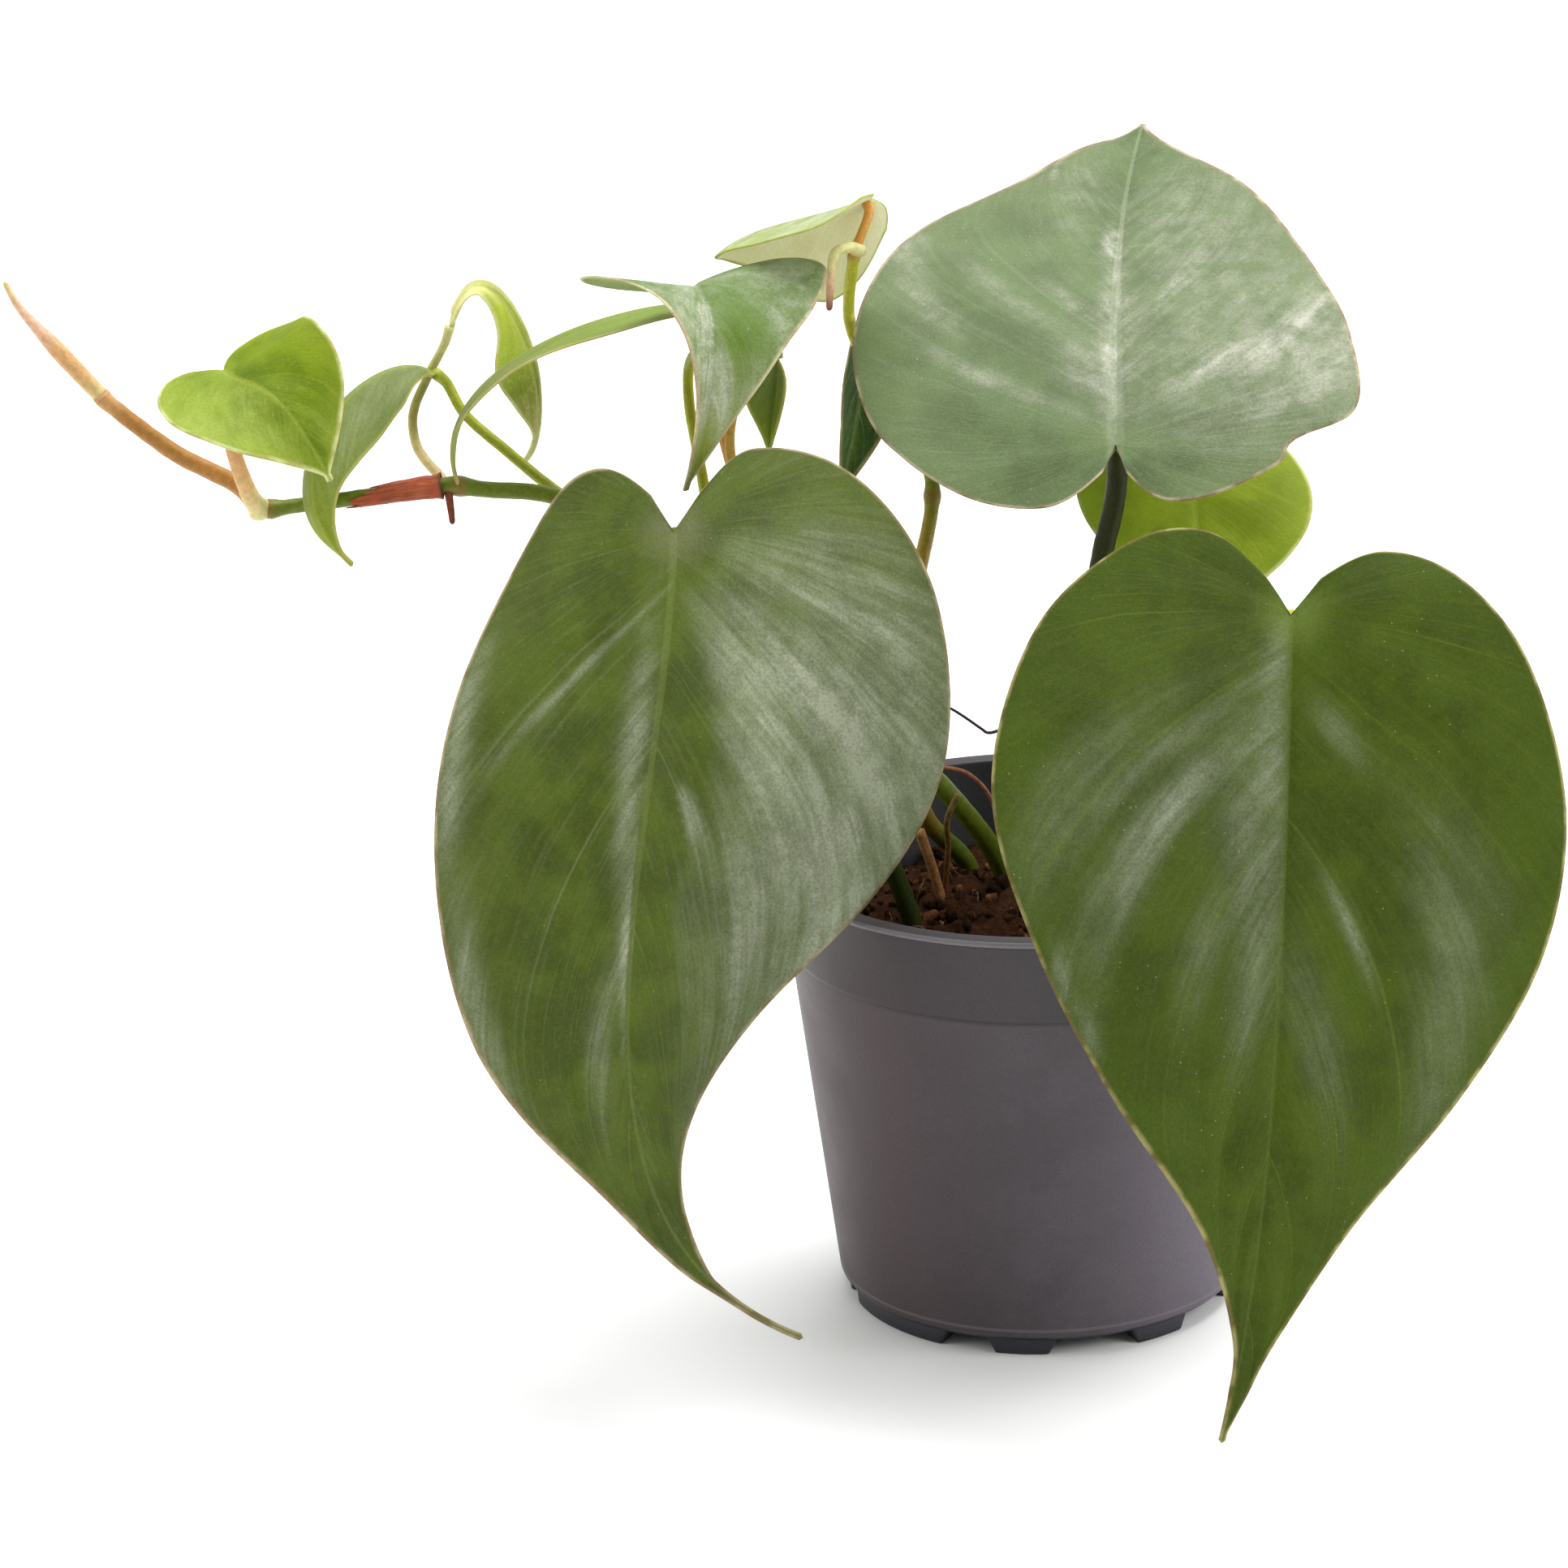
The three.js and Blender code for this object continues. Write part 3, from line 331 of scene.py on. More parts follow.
CROWN = variant(
    YOUNG, seed=17.0, glow=0.15, grain=0.05, deep=(96, 116, 34), main=(122, 140, 54),
    silver=(176, 182, 152), sheen_all=0.75, under=(222, 216, 172), under_light=(230, 226, 190),
    under_vein=(232, 230, 200), edge=(160, 168, 70), edge_dark=(140, 150, 60),
)
HANGING = variant(
    YOUNG, along=[(106, 117, 68), (104, 119, 58), (106, 121, 32), (136, 146, 14)],
    seed=21.0, deep=(84, 106, 24), main=(102, 126, 36), margin_tone=(118, 136, 40),
    silver=(156, 162, 124), sheen_all=0.1, edge=(168, 168, 94),
)
NEWEST = variant(
    YOUNG, along=[
        (204, 196, 130), (214, 212, 150), (190, 202, 70), (170, 186, 60),
        (112, 126, 26), (150, 142, 90), (176, 158, 116),
    ],
    seed=25.0, glow=0.2, deep=(176, 186, 64), main=(200, 204, 106),
    margin_tone=(212, 212, 144), warm=(204, 200, 110), vein=(208, 210, 138),
    rib=(208, 210, 138), under=(186, 194, 98), under_light=(202, 206, 126),
    silver=(214, 214, 170), edge=(222, 216, 176), edge_dark=(200, 190, 130),
)
FOLDED = variant(
    YOUNG, along=[(102, 122, 44), (108, 130, 50), (108, 122, 48), (104, 108, 58),
           (118, 110, 80)],
    seed=27.0, edge=(176, 164, 124), sheen_all=0.12, silver=(166, 172, 138),
)
# A darker copy of the mature look: painted shade for the leaf that hangs behind the others
SHADED = variant(
    MATURE, seed=29.0, deep=(38, 62, 22), main=(50, 78, 30), margin_tone=(52, 80, 34),
    silver=(92, 112, 80),
)


# Leaves. The midrib is a Bezier curve from notch to tip, face is the way the upper side looks at
# the notch and at the tip, and half gives the breadths of the two halves at the stations. dents
# lists waves in the margin: half, station, width in stations and depth.
STATIONS = [0, -0.048, -0.1, -0.075, 0.035, 0.22, 0.4, 0.575, 0.735, 0.87, 0.945, 1]
HEART = [0, 0.1, 0.33, 0.64, 0.88, 1, 0.955, 0.76, 0.47, 0.2, 0.06, 0]
NOTCH_BREADTH = 0.3
FAN_END = 3
TAPER_END = 5
LEAST_BREADTH = 0.4
MOST_SLANT = 1.2
LEAST_SLANT = 0.25
CREASE = 1.2
LAST = len(STATIONS) - 1

# bloom lists silvery patches, partly a waxy coat and partly painted sheen: half, vein, place across
# # from 0 at the midrib to 1 at the margin, their two widths and their strength
LEAVES = {
    "leaf_front_left": dict(
        midrib=[(-37.8, -20, 94.5), (-38, -39, 69), (-56, -43, 25), (-25.4, -42, 11.5)],
        face=[(-0.05, -0.86, 0.51), (0.45, -0.85, 0.26)],
        half=[(8, 13.5, 18.5, 22.5, 22, 16.5, 5.2, 1.1, 0.3), (9.5, 20, 30, 34.5, 29, 16.5, 5.3, 0.5, 0.1)],
        fold=(-11, -22), curl=(-15, -8), lobe=1.03, notch=0.32, look=MATURE, slot="leaf_mature", large=True,
        bloom_and_sheen=[
            (1, 0.06, 0.4, 0.035, 0.45, 0.5), (1, 0.1, 0.35, 0.03, 0.3, 0.35),
            (1, -0.1, 0.7, 0.09, 0.35, 0.32), (1, 0.06, 0.85, 0.07, 0.3, 0.5),
            (1, 0.061, 0.45, 0.009, 0.25, 0.5), (1, 0.067, 0.8, 0.01, 0.25, 0.5),
            (1, 0.235, 0.22, 0.012, 0.1, 0.9), (1, 0.17, 0.65, 0.03, 0.25, 0.35),
            (0, 0.06, 0.45, 0.006, 0.35, 0.5), (0, 0.22, 0.1, 0.12, 0.06, 0.6),
            (0, 0.45, 0.04, 0.1, 0.05, 0.7), (0, -0.03, 0.95, 0.05, 0.06, 0.5),
            (0, 0.03, 0.93, 0.04, 0.06, 0.5), (0, 0.157, 0.93, 0.05, 0.07, 0.5),
            (0, 0.48, 0.3, 0.05, 0.2, 0.4), (1, 0.03, 0.75, 0.18, 0.5, 0.65),
            (1, 0.27, 0.6, 0.1, 0.4, 0.12), (1, 0.3, 0.03, 0.4, 0.16, -0.5),
            (1, 0.14, 0.55, 0.006, 0.3, 0.5), (1, 0.1, 0.6, 0.006, 0.35, 0.5),
            (1, 0.02, 0.6, 0.006, 0.4, 0.5), (1, 0.2, 0.6, 0.006, 0.25, 0.4),
        ],
    ),
    "leaf_front_right": dict(
        midrib=[(26.5, -36, 90), (25, -52, 70.5), (25.7, -58, 36), (18.6, -61, 7.4)],
        face=[(-0.06, -0.82, 0.57), (0.35, -0.93, 0.12)],
        half=[
            (9, 17.5, 26.5, 30.5, 26, 17.5, 7, 1.2, 0.4),
            (9.5, 17.3, 25.5, 31, 29.5, 21.5, 10.5, 3.5, 1.6),
        ],
        fold=(10, -6), curl=(-12, -17), lobe=0.97, look=DEEP, slot="leaf_mature", large=True,
        bloom_and_sheen=[
            (0, 0.02, 0.7, 0.03, 0.25, 0.35), (0, 0.055, 0.4, 0.015, 0.3, 0.3),
            (0, 0.108, 0.58, 0.022, 0.25, 0.7), (0, 0.1, 0.4, 0.3, 0.6, 0.04),
            (0, 0.12, 0.05, 0.2, 0.05, 0.4), (0, 0.11, 0.4, 0.018, 0.18, 0.45),
            (0, 0.21, 0.14, 0.12, 0.1, 0.45), (0, 0.37, 0.2, 0.08, 0.15, 0.4),
            (0, 0.24, 0.43, 0.03, 0.15, 0.3), (0, 0.088, 0.95, 0.015, 0.04, 0.5),
            (0, 0.125, 0.95, 0.015, 0.04, 0.4), (1, 0.09, 0.18, 0.02, 0.08, 0.35),
            (1, 0.25, 0.3, 0.012, 0.12, 0.6), (1, 0.086, 0.65, 0.03, 0.2, 0.2),
            (1, 0.14, 0.68, 0.03, 0.2, 0.28), (1, 0.19, 0.83, 0.04, 0.2, 0.28),
            (1, 0.41, 0.3, 0.06, 0.25, 0.28),
        ],
    ),
    "leaf_top": dict(
        midrib=[(8.8, -8, 99.7), (8.9, 5.5, 111), (9, 24.5, 114.5), (12.7, 48, 119.3)],
        face=[(-0.06, -0.64, 0.77), (0.02, -0.08, 1)],
        half=[(6, 14, 25.3, 25.3, 22.2, 18, 12.7, 6, 1.8), (7.6, 16.8, 25, 28.3, 27, 22.2, 12.2, 6, 2.1)],
        fold=(10, 5), curl=(-16, -13), lobe=1.23, notch=0.19, look=SHEEN, slot="leaf_sheen", large=True,
        dents=[(0, 3.65, 0.22, 3)], head=1.3,
        bloom_and_sheen=[
            (0, 0.3, 0.03, 0.3, 0.05, 0.4), (1, 0.3, 0.03, 0.3, 0.05, 0.4),
            (1, 0.135, 0.12, 0.05, 0.08, 0.6), (1, 0.21, 0.03, 0.1, 0.04, 0.6),
            (1, 0.51, 0.08, 0.06, 0.08, 0.7), (0, 0.254, 0.33, 0.02, 0.15, 0.8),
            (1, 0.264, 0.2, 0.015, 0.12, 0.6), (1, 0.19, 0.48, 0.02, 0.2, 0.4),
            (1, 0.03, 0.45, 0.012, 0.25, 0.6), (0, 0.05, 0.43, 0.015, 0.15, 0.7),
            (0, 0.024, 0.7, 0.02, 0.2, 0.7), (1, 0.089, 0.73, 0.02, 0.15, 0.4),
            (0, 0.043, 0.95, 0.03, 0.06, 0.2), (0, -0.03, 0.95, 0.04, 0.07, 0.25),
            (1, 0.42, 0.95, 0.05, 0.1, 0.4), (1, 0.136, 0.93, 0.04, 0.1, 0.4),
            (0, -0.05, 0.85, 0.12, 0.3, 0.35), (0, 0.0, 0.5, 0.25, 0.7, 0.22),
            (0, 0.3, 0.5, 0.25, 0.5, 0.22), (0, 0.5, 0.5, 0.2, 0.6, 0.2), (1, 0.55, 0.6, 0.2, 0.5, 0.2),
        ],
    ),
    "leaf_back_right": dict(
        midrib=[(16.6, 16, 89.9), (18.8, 8.2, 86), (17, 2.1, 81), (18.8, -2, 75.5)],
        face=[(0.06, -0.5, 0.86), (0.07, -0.65, 0.76)],
        half=[13.2, 12.8], fold=(6, 2), curl=(6, 3), lobe=1, look=YOUNG, slot="leaf_young",
    ),
    "leaf_crown": dict(
        midrib=[(-17.2, 9, 122.2), (-22.1, 9, 119.8), (-29.9, 8.5, 120), (-33.9, 8, 116)],
        face=[(0, 0.72, 0.69), (0, 0.52, 0.85)],
        half=[(1.5, 2.8, 5, 9.5, 11.5, 10, 7, 4, 2), (1.5, 3, 6, 9.5, 10, 8.5, 6, 3.5, 1.6)],
        fold=(-26, -30), curl=(-6, -6), lobe=0.5, run=1, look=CROWN, slot="leaf_young",
    ),
    "leaf_centre": dict(
        midrib=[(-35.9, 0, 115.2), (-34.5, -6, 117), (-31.5, -15, 113), (-36.9, -11, 96)],
        face=[(-0.09, -0.6, 0.8), (0.5, -0.8, 0.28)],
        half=[(2.5, 5.5, 12.5, 6.5, 3.2, 1.6, 1, 0.6, 0.3), (5, 10, 14.3, 12, 8.2, 5.2, 3, 1.3, 0.5)],
        fold=(25, -4), curl=(4, -20), lobe=0.8, look=CENTRE, slot="leaf_sheen",
        bloom_and_sheen=[
            (0, 0.3, 0.5, 0.5, 0.8, 0.85), (1, -0.05, 0.5, 0.12, 0.7, 0.5),
            (1, 0.15, 0.95, 0.4, 0.25, 0.35), (1, 0.1, 0.1, 0.4, 0.15, 0.2),
            (1, 0.5, 0.3, 0.12, 0.4, 0.9), (1, 0.38, 0.5, 0.05, 0.4, 0.5),
        ],
    ),
    "leaf_far_left": dict(
        midrib=[(-85.9, -4, 107.7), (-82.3, -9.5, 106.8), (-79.6, -12.4, 110.2), (-74.3, -12, 97.8)],
        face=[(-0.11, -0.65, 0.75), (0.21, -0.91, 0.35)],
        half=[9.7, 9.7], fold=(11, -2), curl=(13, 5), lobe=1.02, look=SUNNY, slot="leaf_young", bloom_and_sheen=[
            (0, 0.2, 0.5, 0.6, 0.9, 0.6), (0, 0.1, 0.95, 0.4, 0.3, 0.4), (1, 0.6, 0.8, 0.2, 0.5, 0.5),
        ],
    ),
    "leaf_left_hanging": dict(
        midrib=[(-64.4, 10, 102.8), (-69.6, 6.5, 109), (-84.3, -4, 96.7), (-73, -5, 86)],
        face=[(-0.29, -0.29, 0.91), (-0.55, -0.82, 0.15)],
        half=[(1, 2, 3.6, 5.8, 7.6, 7, 4.3, 1.8, 0.5), (0.7, 1.2, 2.4, 4.4, 5.4, 4.6, 2.8, 1.2, 0.4)],
        fold=(-33, -34), curl=(-24, -21), lobe=0.2, look=HANGING, slot="leaf_young", arches=True,
        bloom_and_sheen=[
            (0, 0.2, 0.5, 0.3, 0.5, 0.5), (1, 0.2, 0.5, 0.3, 0.4, 0.45),
        ],
    ),
    "leaf_left_curled": dict(
        midrib=[(-62.9, 12, 107.4), (-58.3, 12, 122.2), (-49.8, 12, 96.7), (-55.7, 12.5, 91.6)],
        face=[(-0.65, -0.6, 0.4), (0.6, -0.75, 0.1)],
        half=[(0.8, 0.9, 1, 1.3, 2.3, 4.4, 3, 0.5, 0.4), (0.8, 0.8, 0.8, 0.8, 0.8, 0.8, 0.6, 0.5, 0.4)],
        fold=(20, -15), curl=(5, 5), lobe=0, look=NEWEST, slot="leaf_newest", arches=True,
    ),
    "leaf_left_folded": dict(
        midrib=[(-34.4, 5, 111.9), (-46, 5, 112.6), (-66.4, 3.6, 104.5), (-61.8, 0.6, 93.2)],
        face=[(-0.41, 0.14, 0.9), (-0.9, -0.1, -0.3)],
        half=[(1.5, 3.2, 4.8, 6, 5.8, 4.8, 3.4, 1.8, 0.7), (1.5, 3.2, 4.8, 6, 5.8, 4.8, 3.4, 1.8, 0.7)],
        fold=(-14, -6), curl=(-5, -5), lobe=0.5, look=FOLDED, slot="leaf_young",
    ),
    "leaf_back_hanging": dict(
        midrib=[(-18, 26, 101.8), (-18.6, 24, 96), (-19.6, 20, 90.5), (-21.6, 18, 85)],
        face=[(-0.3, -0.85, 0.42), (-0.3, -0.9, 0.3)],
        half=[2.6, 4], fold=(-12, -12), curl=(-10, -10), lobe=0.9, look=SHADED, slot="leaf_mature",
    ),
    "leaf_back_young": dict(
        midrib=[(-27.4, 7, 105.2), (-27.2, 6.5, 102), (-28, 5, 99), (-28.4, 4, 95.6)],
        face=[(-0.15, -0.88, 0.45), (-0.15, -0.95, 0.28)],
        half=[(0.8, 1.7, 2.8, 3.7, 3.7, 2.9, 1.8, 0.9, 0.5), (0.7, 1, 1.4, 1.7, 1.8, 1.6, 1.1, 0.7, 0.5)],
        fold=(10, 45), curl=(5, 5), lobe=0, look=HANGING, slot="leaf_young",
        arches=True,
    ),
}


def unit(v):
    return v / np.linalg.norm(v, axis=-1, keepdims=True)


def spline_at(values, k):
    """Catmull-Rom values at places k of a list."""
    values = np.asarray(values, float)
    last = len(values) - 1
    padded = np.concatenate([[2 * values[0] - values[1]], values, [2 * values[-1] - values[-2]]])
    i = np.minimum(np.floor(k).astype(int), last - 1)
    t = k - i
    a, b, c, d = (padded[i + n] for n in range(4))
    square, cube = 2 * a - 5 * b + 4 * c - d, 3 * b - a - 3 * c + d
    return 0.5 * (2 * b + (c - a) * t + square * t**2 + cube * t**3)


class Blade:
    """The surface of one leaf: a curved midrib with a bent half on each side of it."""

    SAMPLES = 600
    BEHIND = -0.25

    def __init__(self, leaf):
        self.leaf = leaf
        notch = leaf.get("notch", NOTCH_BREADTH)
        self.outline = [self.breadths(half, notch) for half in leaf["half"]]
        a, b, c, d = np.array(leaf["midrib"], float)
        t = np.linspace(self.BEHIND, 1, self.SAMPLES)[:, None]
        u = 1 - t
        self.points = u**3 * a + 3 * u**2 * t * b + 3 * u * t**2 * c + t**3 * d
        self.tangents = unit(u**2 * (b - a) + 2 * t * u * (c - b) + t**2 * (d - c))
        steps = np.linalg.norm(np.diff(self.points, axis=0), axis=1)
        length = np.concatenate([[0], np.cumsum(steps)])
        zero = np.interp(0, t[:, 0], length)
        self.along = length - zero
        self.length = self.along[-1]

    @staticmethod
    def breadths(half, notch):
        if isinstance(half, tuple):
            return np.array([0, notch * half[0], *half, 0], float)
        return np.array(HEART) * half

    def frame(self, v):
        s = np.asarray(v, float) * self.length

        def at(table):
            return np.stack([np.interp(s, self.along, table[:, i]) for i in range(3)], axis=-1)

        point, tangent = at(self.points), unit(at(self.tangents))
        start, end = (unit(np.array(w, float)) for w in self.leaf["face"])
        face = start + (end - start) * np.asarray(v, float)[..., None]
        normal = unit(face - (face * tangent).sum(-1, keepdims=True) * tangent)
        return point, tangent, normal, np.cross(tangent, normal)

    def margin(self, half, breadth, v):
        """Points of the margin: a half rises at its fold angle and bends by its curl angle to there."""
        point, _, normal, side = self.frame(v)
        reach = self.outline[half].max()
        fold = math.radians(self.leaf["fold"][half])
        curl = math.radians(self.leaf["curl"][half])
        angle = fold + curl * breadth / reach
        across = (reach / curl) * (np.sin(angle) - math.sin(fold))
        rise = (reach / curl) * (math.cos(fold) - np.cos(angle))
        way = 1 if half == 0 else -1
        return point + way * across[..., None] * side + rise[..., None] * normal

    def breadth(self, half, k):
        made = spline_at(self.outline[half], k)
        for side, at, width, depth in self.leaf.get("dents", ()):
            if side == half:
                made = made - depth * np.exp(-(((k - at) / width) ** 2))
        return np.maximum(LEAST_BREADTH, made)

    def edge(self, k):
        """Where the line at station k meets the margin, along the midrib."""
        station = spline_at(STATIONS, k)
        lobed = np.where(station < 0, station * self.leaf["lobe"], station)
        tapered = STATIONS[TAPER_END] * (k / TAPER_END) ** 1.3
        pointed = max(0, 1 - 2 * self.leaf["lobe"])
        return lobed + np.where(k < TAPER_END, pointed * (tapered - np.maximum(0, station)), 0)

    def foot(self, k):
        """Where that line leaves the midrib."""
        pointed = self.leaf["lobe"] < 0.5
        slant = LEAST_SLANT if pointed else MOST_SLANT
        slanted = np.maximum(0, (k - FAN_END) / (LAST - FAN_END)) ** 1.5
        narrow = np.minimum(self.breadth(0, k), self.breadth(1, k)) - LEAST_BREADTH
        foot = np.maximum(slanted, self.edge(k) - slant * narrow / self.length)
        return np.where(k <= (1 if pointed else FAN_END), 0, foot)

    def line(self, half, k, shares):
        """Points of the line at station k, from the midrib to the margin, and the way they face."""
        k = np.array([k])
        foot, edge, breadth = self.foot(k), self.edge(k), self.breadth(half, k)
        start = self.frame(foot)[0]
        end = self.margin(half, breadth, edge)
        turn = math.radians(self.leaf["curl"][half]) * breadth[0] / self.outline[half].max()
        _, _, normal, side = self.frame(foot + (edge - foot) * shares)
        bow = -turn * breadth[0] / 2 * shares * (1 - shares)
        point = start + (end - start) * shares[:, None] + bow[:, None] * normal
        fold = math.radians(self.leaf["fold"][half])
        tilt = fold * np.minimum(1, breadth[0] * shares / CREASE) + turn * shares
        way = -1 if half == 0 else 1
        face = normal * np.cos(tilt)[:, None] + way * side * np.sin(tilt)[:, None]
        return point, face, breadth[0] * shares, foot + (edge - foot) * shares


def new_object(name, verts, faces, attributes=None):
    """A mesh object from points in millimetres, with float attributes on its points."""
    mesh = bpy.data.meshes.new(name)
    mesh.from_pydata((np.asarray(verts) * MM).tolist(), [], faces)
    mesh.validate()
    for key, values in (attributes or {}).items():
        values = np.asarray(values, np.float32)
        kind = "FLOAT_COLOR" if values.ndim == 2 else "FLOAT"
        layer = mesh.attributes.new(key, kind, "POINT")
        layer.data.foreach_set("color" if values.ndim == 2 else "value", values.ravel())
    mesh.shade_smooth()
    obj = bpy.data.objects.new(name, mesh)
    bpy.context.scene.collection.objects.link(obj)
    return obj


def piece(obj, material, slot, *nodes):
    """Puts a finished object in the place of its nodes."""
    obj.data.materials.clear()
    obj.data.materials.append(material)
    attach(obj, "root")
    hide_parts(*nodes)
    return obj


# Thickness of a blade at the middle and at the margin, and the relief of its veins
THICK = 0.5
THICK_MARGIN = 0.26
RIB_GROOVE = 0.22
RIB_KEEL = 0.5
VEIN_RELIEF = 0.1
MARGIN_WAVE = 0.18
RIM = 0.14
SMALLER = 0.85
USUAL_LENGTH = 40
FINE_GRID = (150, 34)
COARSE_GRID = (84, 18)
MIDRIB_INSET = 9.0
BLADE_KEYS = ("vein", "way", "across", "half", "breadth", "inset")


def build_leaf(name, leaf):
    blade = Blade(leaf)
    lines, rows = FINE_GRID if leaf.get("large") else COARSE_GRID
    size = blade.length / USUAL_LENGTH
    shares = np.linspace(0, 1, rows + 1)
    shares = 0.5 * shares + 0.5 * (1 - np.cos(np.pi * shares)) / 2
    stations = 1 + np.arange(lines) * (LAST - 1) / lines
    points, normals, marks, faces = [], [], [], []

    def add(point, normal, **mark):
        points.append(point)
        normals.append(normal)
        marks.append(mark)
        return len(points) - 1

    def on_midrib(v, k, edge=0.0):
        point, _, normal, _ = (w[0] for w in blade.frame(np.array([v])))
        flat = dict(half=0.0, breadth=0.0, across=0.0)
        return add(point, normal, station=k, inset=MIDRIB_INSET * (1 - edge), edge=edge, way=v, **flat)

    base = on_midrib(0.0, 3.0)
    tip = on_midrib(1.0, float(LAST), edge=1.0)
    feet = blade.foot(stations)
    ribs = [base if v <= 0 else on_midrib(float(v), float(k)) for v, k in zip(feet, stations)]
    borders = []
    for half in (0, 1):
        grid = []
        for k, rib in zip(stations, ribs):
            line, face, breadth, way = blade.line(half, k, shares)
            column = [rib]
            for r in range(1, rows + 1):
                marked = dict(
                    station=float(k), half=float(half), edge=float(r == rows), way=way[r],
                    breadth=breadth[r], across=shares[r], inset=breadth[rows] - breadth[r],
                )
                column.append(add(line[r], face[r], **marked))
            grid.append(column)
        for c, column in enumerate(grid):
            following = grid[c + 1] if c + 1 < len(grid) else [tip] * (rows + 1)
            for r in range(rows):
                corners = [column[r], column[r + 1], following[r + 1], following[r]]
                corners = list(dict.fromkeys(corners))
                if len(corners) > 2:
                    faces.append(corners if half == 0 else corners[::-1])
        for i in grid[0][1:]:
            marks[i]["edge"] = 1.0
            marks[i]["inset"] = 0.0
        borders.append([*grid[0][1:], *(column[rows] for column in grid[1:])])

    border = [base, *borders[0], tip, *reversed(borders[1])]
    points, normals = np.array(points), np.array(normals)
    mark = {key: np.array([row[key] for row in marks]) for key in marks[0]}
    mark["vein"] = vein_start(mark["across"], mark["way"], mark["breadth"], blade.length)
    relief, thick, groove, keel = leaf_relief(leaf, mark, size)
    thick[base] = THICK
    top = points + normals * (relief - groove + thick / 2)[:, None]
    under = points + normals * (relief - keel - thick / 2)[:, None]

    count = len(points)
    all_faces = faces + [[i + count for i in reversed(face)] for face in faces]
    for a, b in zip(border, border[1:] + border[:1]):
        all_faces.append([b, a, a + count, b + count])
    attributes = {key: np.tile(mark[key], 2) for key in BLADE_KEYS}
    attributes["upper"] = np.concatenate([np.ones(count), -np.ones(count)])
    attributes["bloom_and_sheen"] = np.tile(leaf_bloom_and_sheen(leaf, mark), 2)
    if leaf["look"]["along"]:
        attributes["tint"] = np.tile(tint_along(leaf["look"]["along"], mark["way"]), (2, 1))
    from_notch = np.linalg.norm(points - points[base], axis=1) / size**0.5
    attributes["from_notch"] = np.tile(from_notch, 2)
    obj = new_object("blade_" + name[5:], np.concatenate([top, under]), all_faces, attributes)
    return obj, blade


def tint_along(colours, along):
    places = np.linspace(0, 1, len(colours))
    table = np.array(colours)
    return np.stack([np.interp(along, places, table[:, i]) for i in range(4)], axis=-1)


def vein_start(across, way, breadth, length):
    """Where the vein through each point leaves the midrib. Behind the first vein, whose start is 0,
    the value falls with the angle at the notch, because the veins there fan into the lobes."""
    starts = np.linspace(0, 1, 301)
    lift = np.minimum(0.2 + 1.25 * starts, 0.6)
    made = np.empty(len(way))
    for i, (a, v) in enumerate(zip(across, way)):
        made[i] = np.interp(v, starts + (1 - starts) * (lift * a + 0.1 * a**3), starts)
    first = length * (0.2 * across + 0.1 * across**3)
    angle = np.arctan2(breadth, way * length) - np.arctan2(breadth, first)
    return np.where(way * length < first, -0.25 * angle, made)


def leaf_relief(leaf, mark, size):
    """The midrib's groove above and keel below, sunk veins and a soft wave at the margin."""
    breadth, across, station = mark["breadth"], mark["across"], mark["station"]
    way = np.clip((station - FAN_END) / (LAST - FAN_END), 0, 1)
    scale = size**0.5
    fade = np.exp(-((breadth / (0.5 * scale)) ** 2)) * (1 - mark["edge"])
    groove = RIB_GROOVE * scale * fade * (1 - 0.7 * way)
    keel = RIB_KEEL * scale * fade * (1 - 0.85 * way)
    furrow = np.cos(2 * np.pi * (mark["vein"] - VEIN_START) / VEIN_SPACING)
    relief = -VEIN_RELIEF * size * furrow * np.sin(np.pi * np.minimum(1, 1.3 * across))
    from_notch = np.hypot(breadth, mark["way"] * USUAL_LENGTH * size) / scale
    relief *= np.clip(1 + 4 * mark["vein"], 0.35, 1) * np.clip(from_notch / 12, 0.1, 1)
    wave = np.sin(station * 2.3 + 4 * mark["half"] + 2 * leaf["lobe"])
    relief += MARGIN_WAVE * size * across**3 * wave
    relief *= np.clip(breadth / 2, 0, 1)
    thick = THICK_MARGIN + (THICK - THICK_MARGIN) * (1 - across**2)
    thick = np.where(mark["edge"] > 0, RIM, thick) * (1 if leaf.get("large") else SMALLER)
    return relief, thick, groove, keel


def leaf_bloom_and_sheen(leaf, mark):
    """How silvery the blade is at each point: partly a waxy coat, partly painted sheen."""
    bloom_and_sheen = np.zeros(len(mark["vein"]))
    for half, vein, place, vein_width, place_width, amount in leaf.get("bloom_and_sheen", ()):
        along = (mark["vein"] - vein) / vein_width
        across = (mark["across"] - place) / place_width
        own = (mark["half"] == half) | (mark["breadth"] < 0.3)
        bloom_and_sheen += amount * np.exp(-(along**2) - across**2) * own
    return np.clip(bloom_and_sheen, 0, 1)


# Stems, petioles, sheaths and roots. Path points run from the root end; tint lists colours along
# the way and joints lists swollen nodes: place from 0 to 1, extra radius and length in mm.
GREEN = colour(104, 118, 30)
MOSS = colour(74, 86, 20)
OLIVE = colour(126, 128, 40)
LIME = colour(158, 164, 50)
DARK = colour(48, 58, 22)
DUSKY = colour(42, 46, 8)
TAN = colour(186, 134, 82)
ORANGE = colour(202, 146, 66)
PINK = colour(210, 168, 138)
SAND = colour(196, 152, 100)
OCHRE = colour(160, 112, 52)
RUST = colour(116, 58, 34)
PALE = colour(204, 198, 136)
CREAM = colour(196, 176, 118)
YELLOW = colour(172, 172, 44)

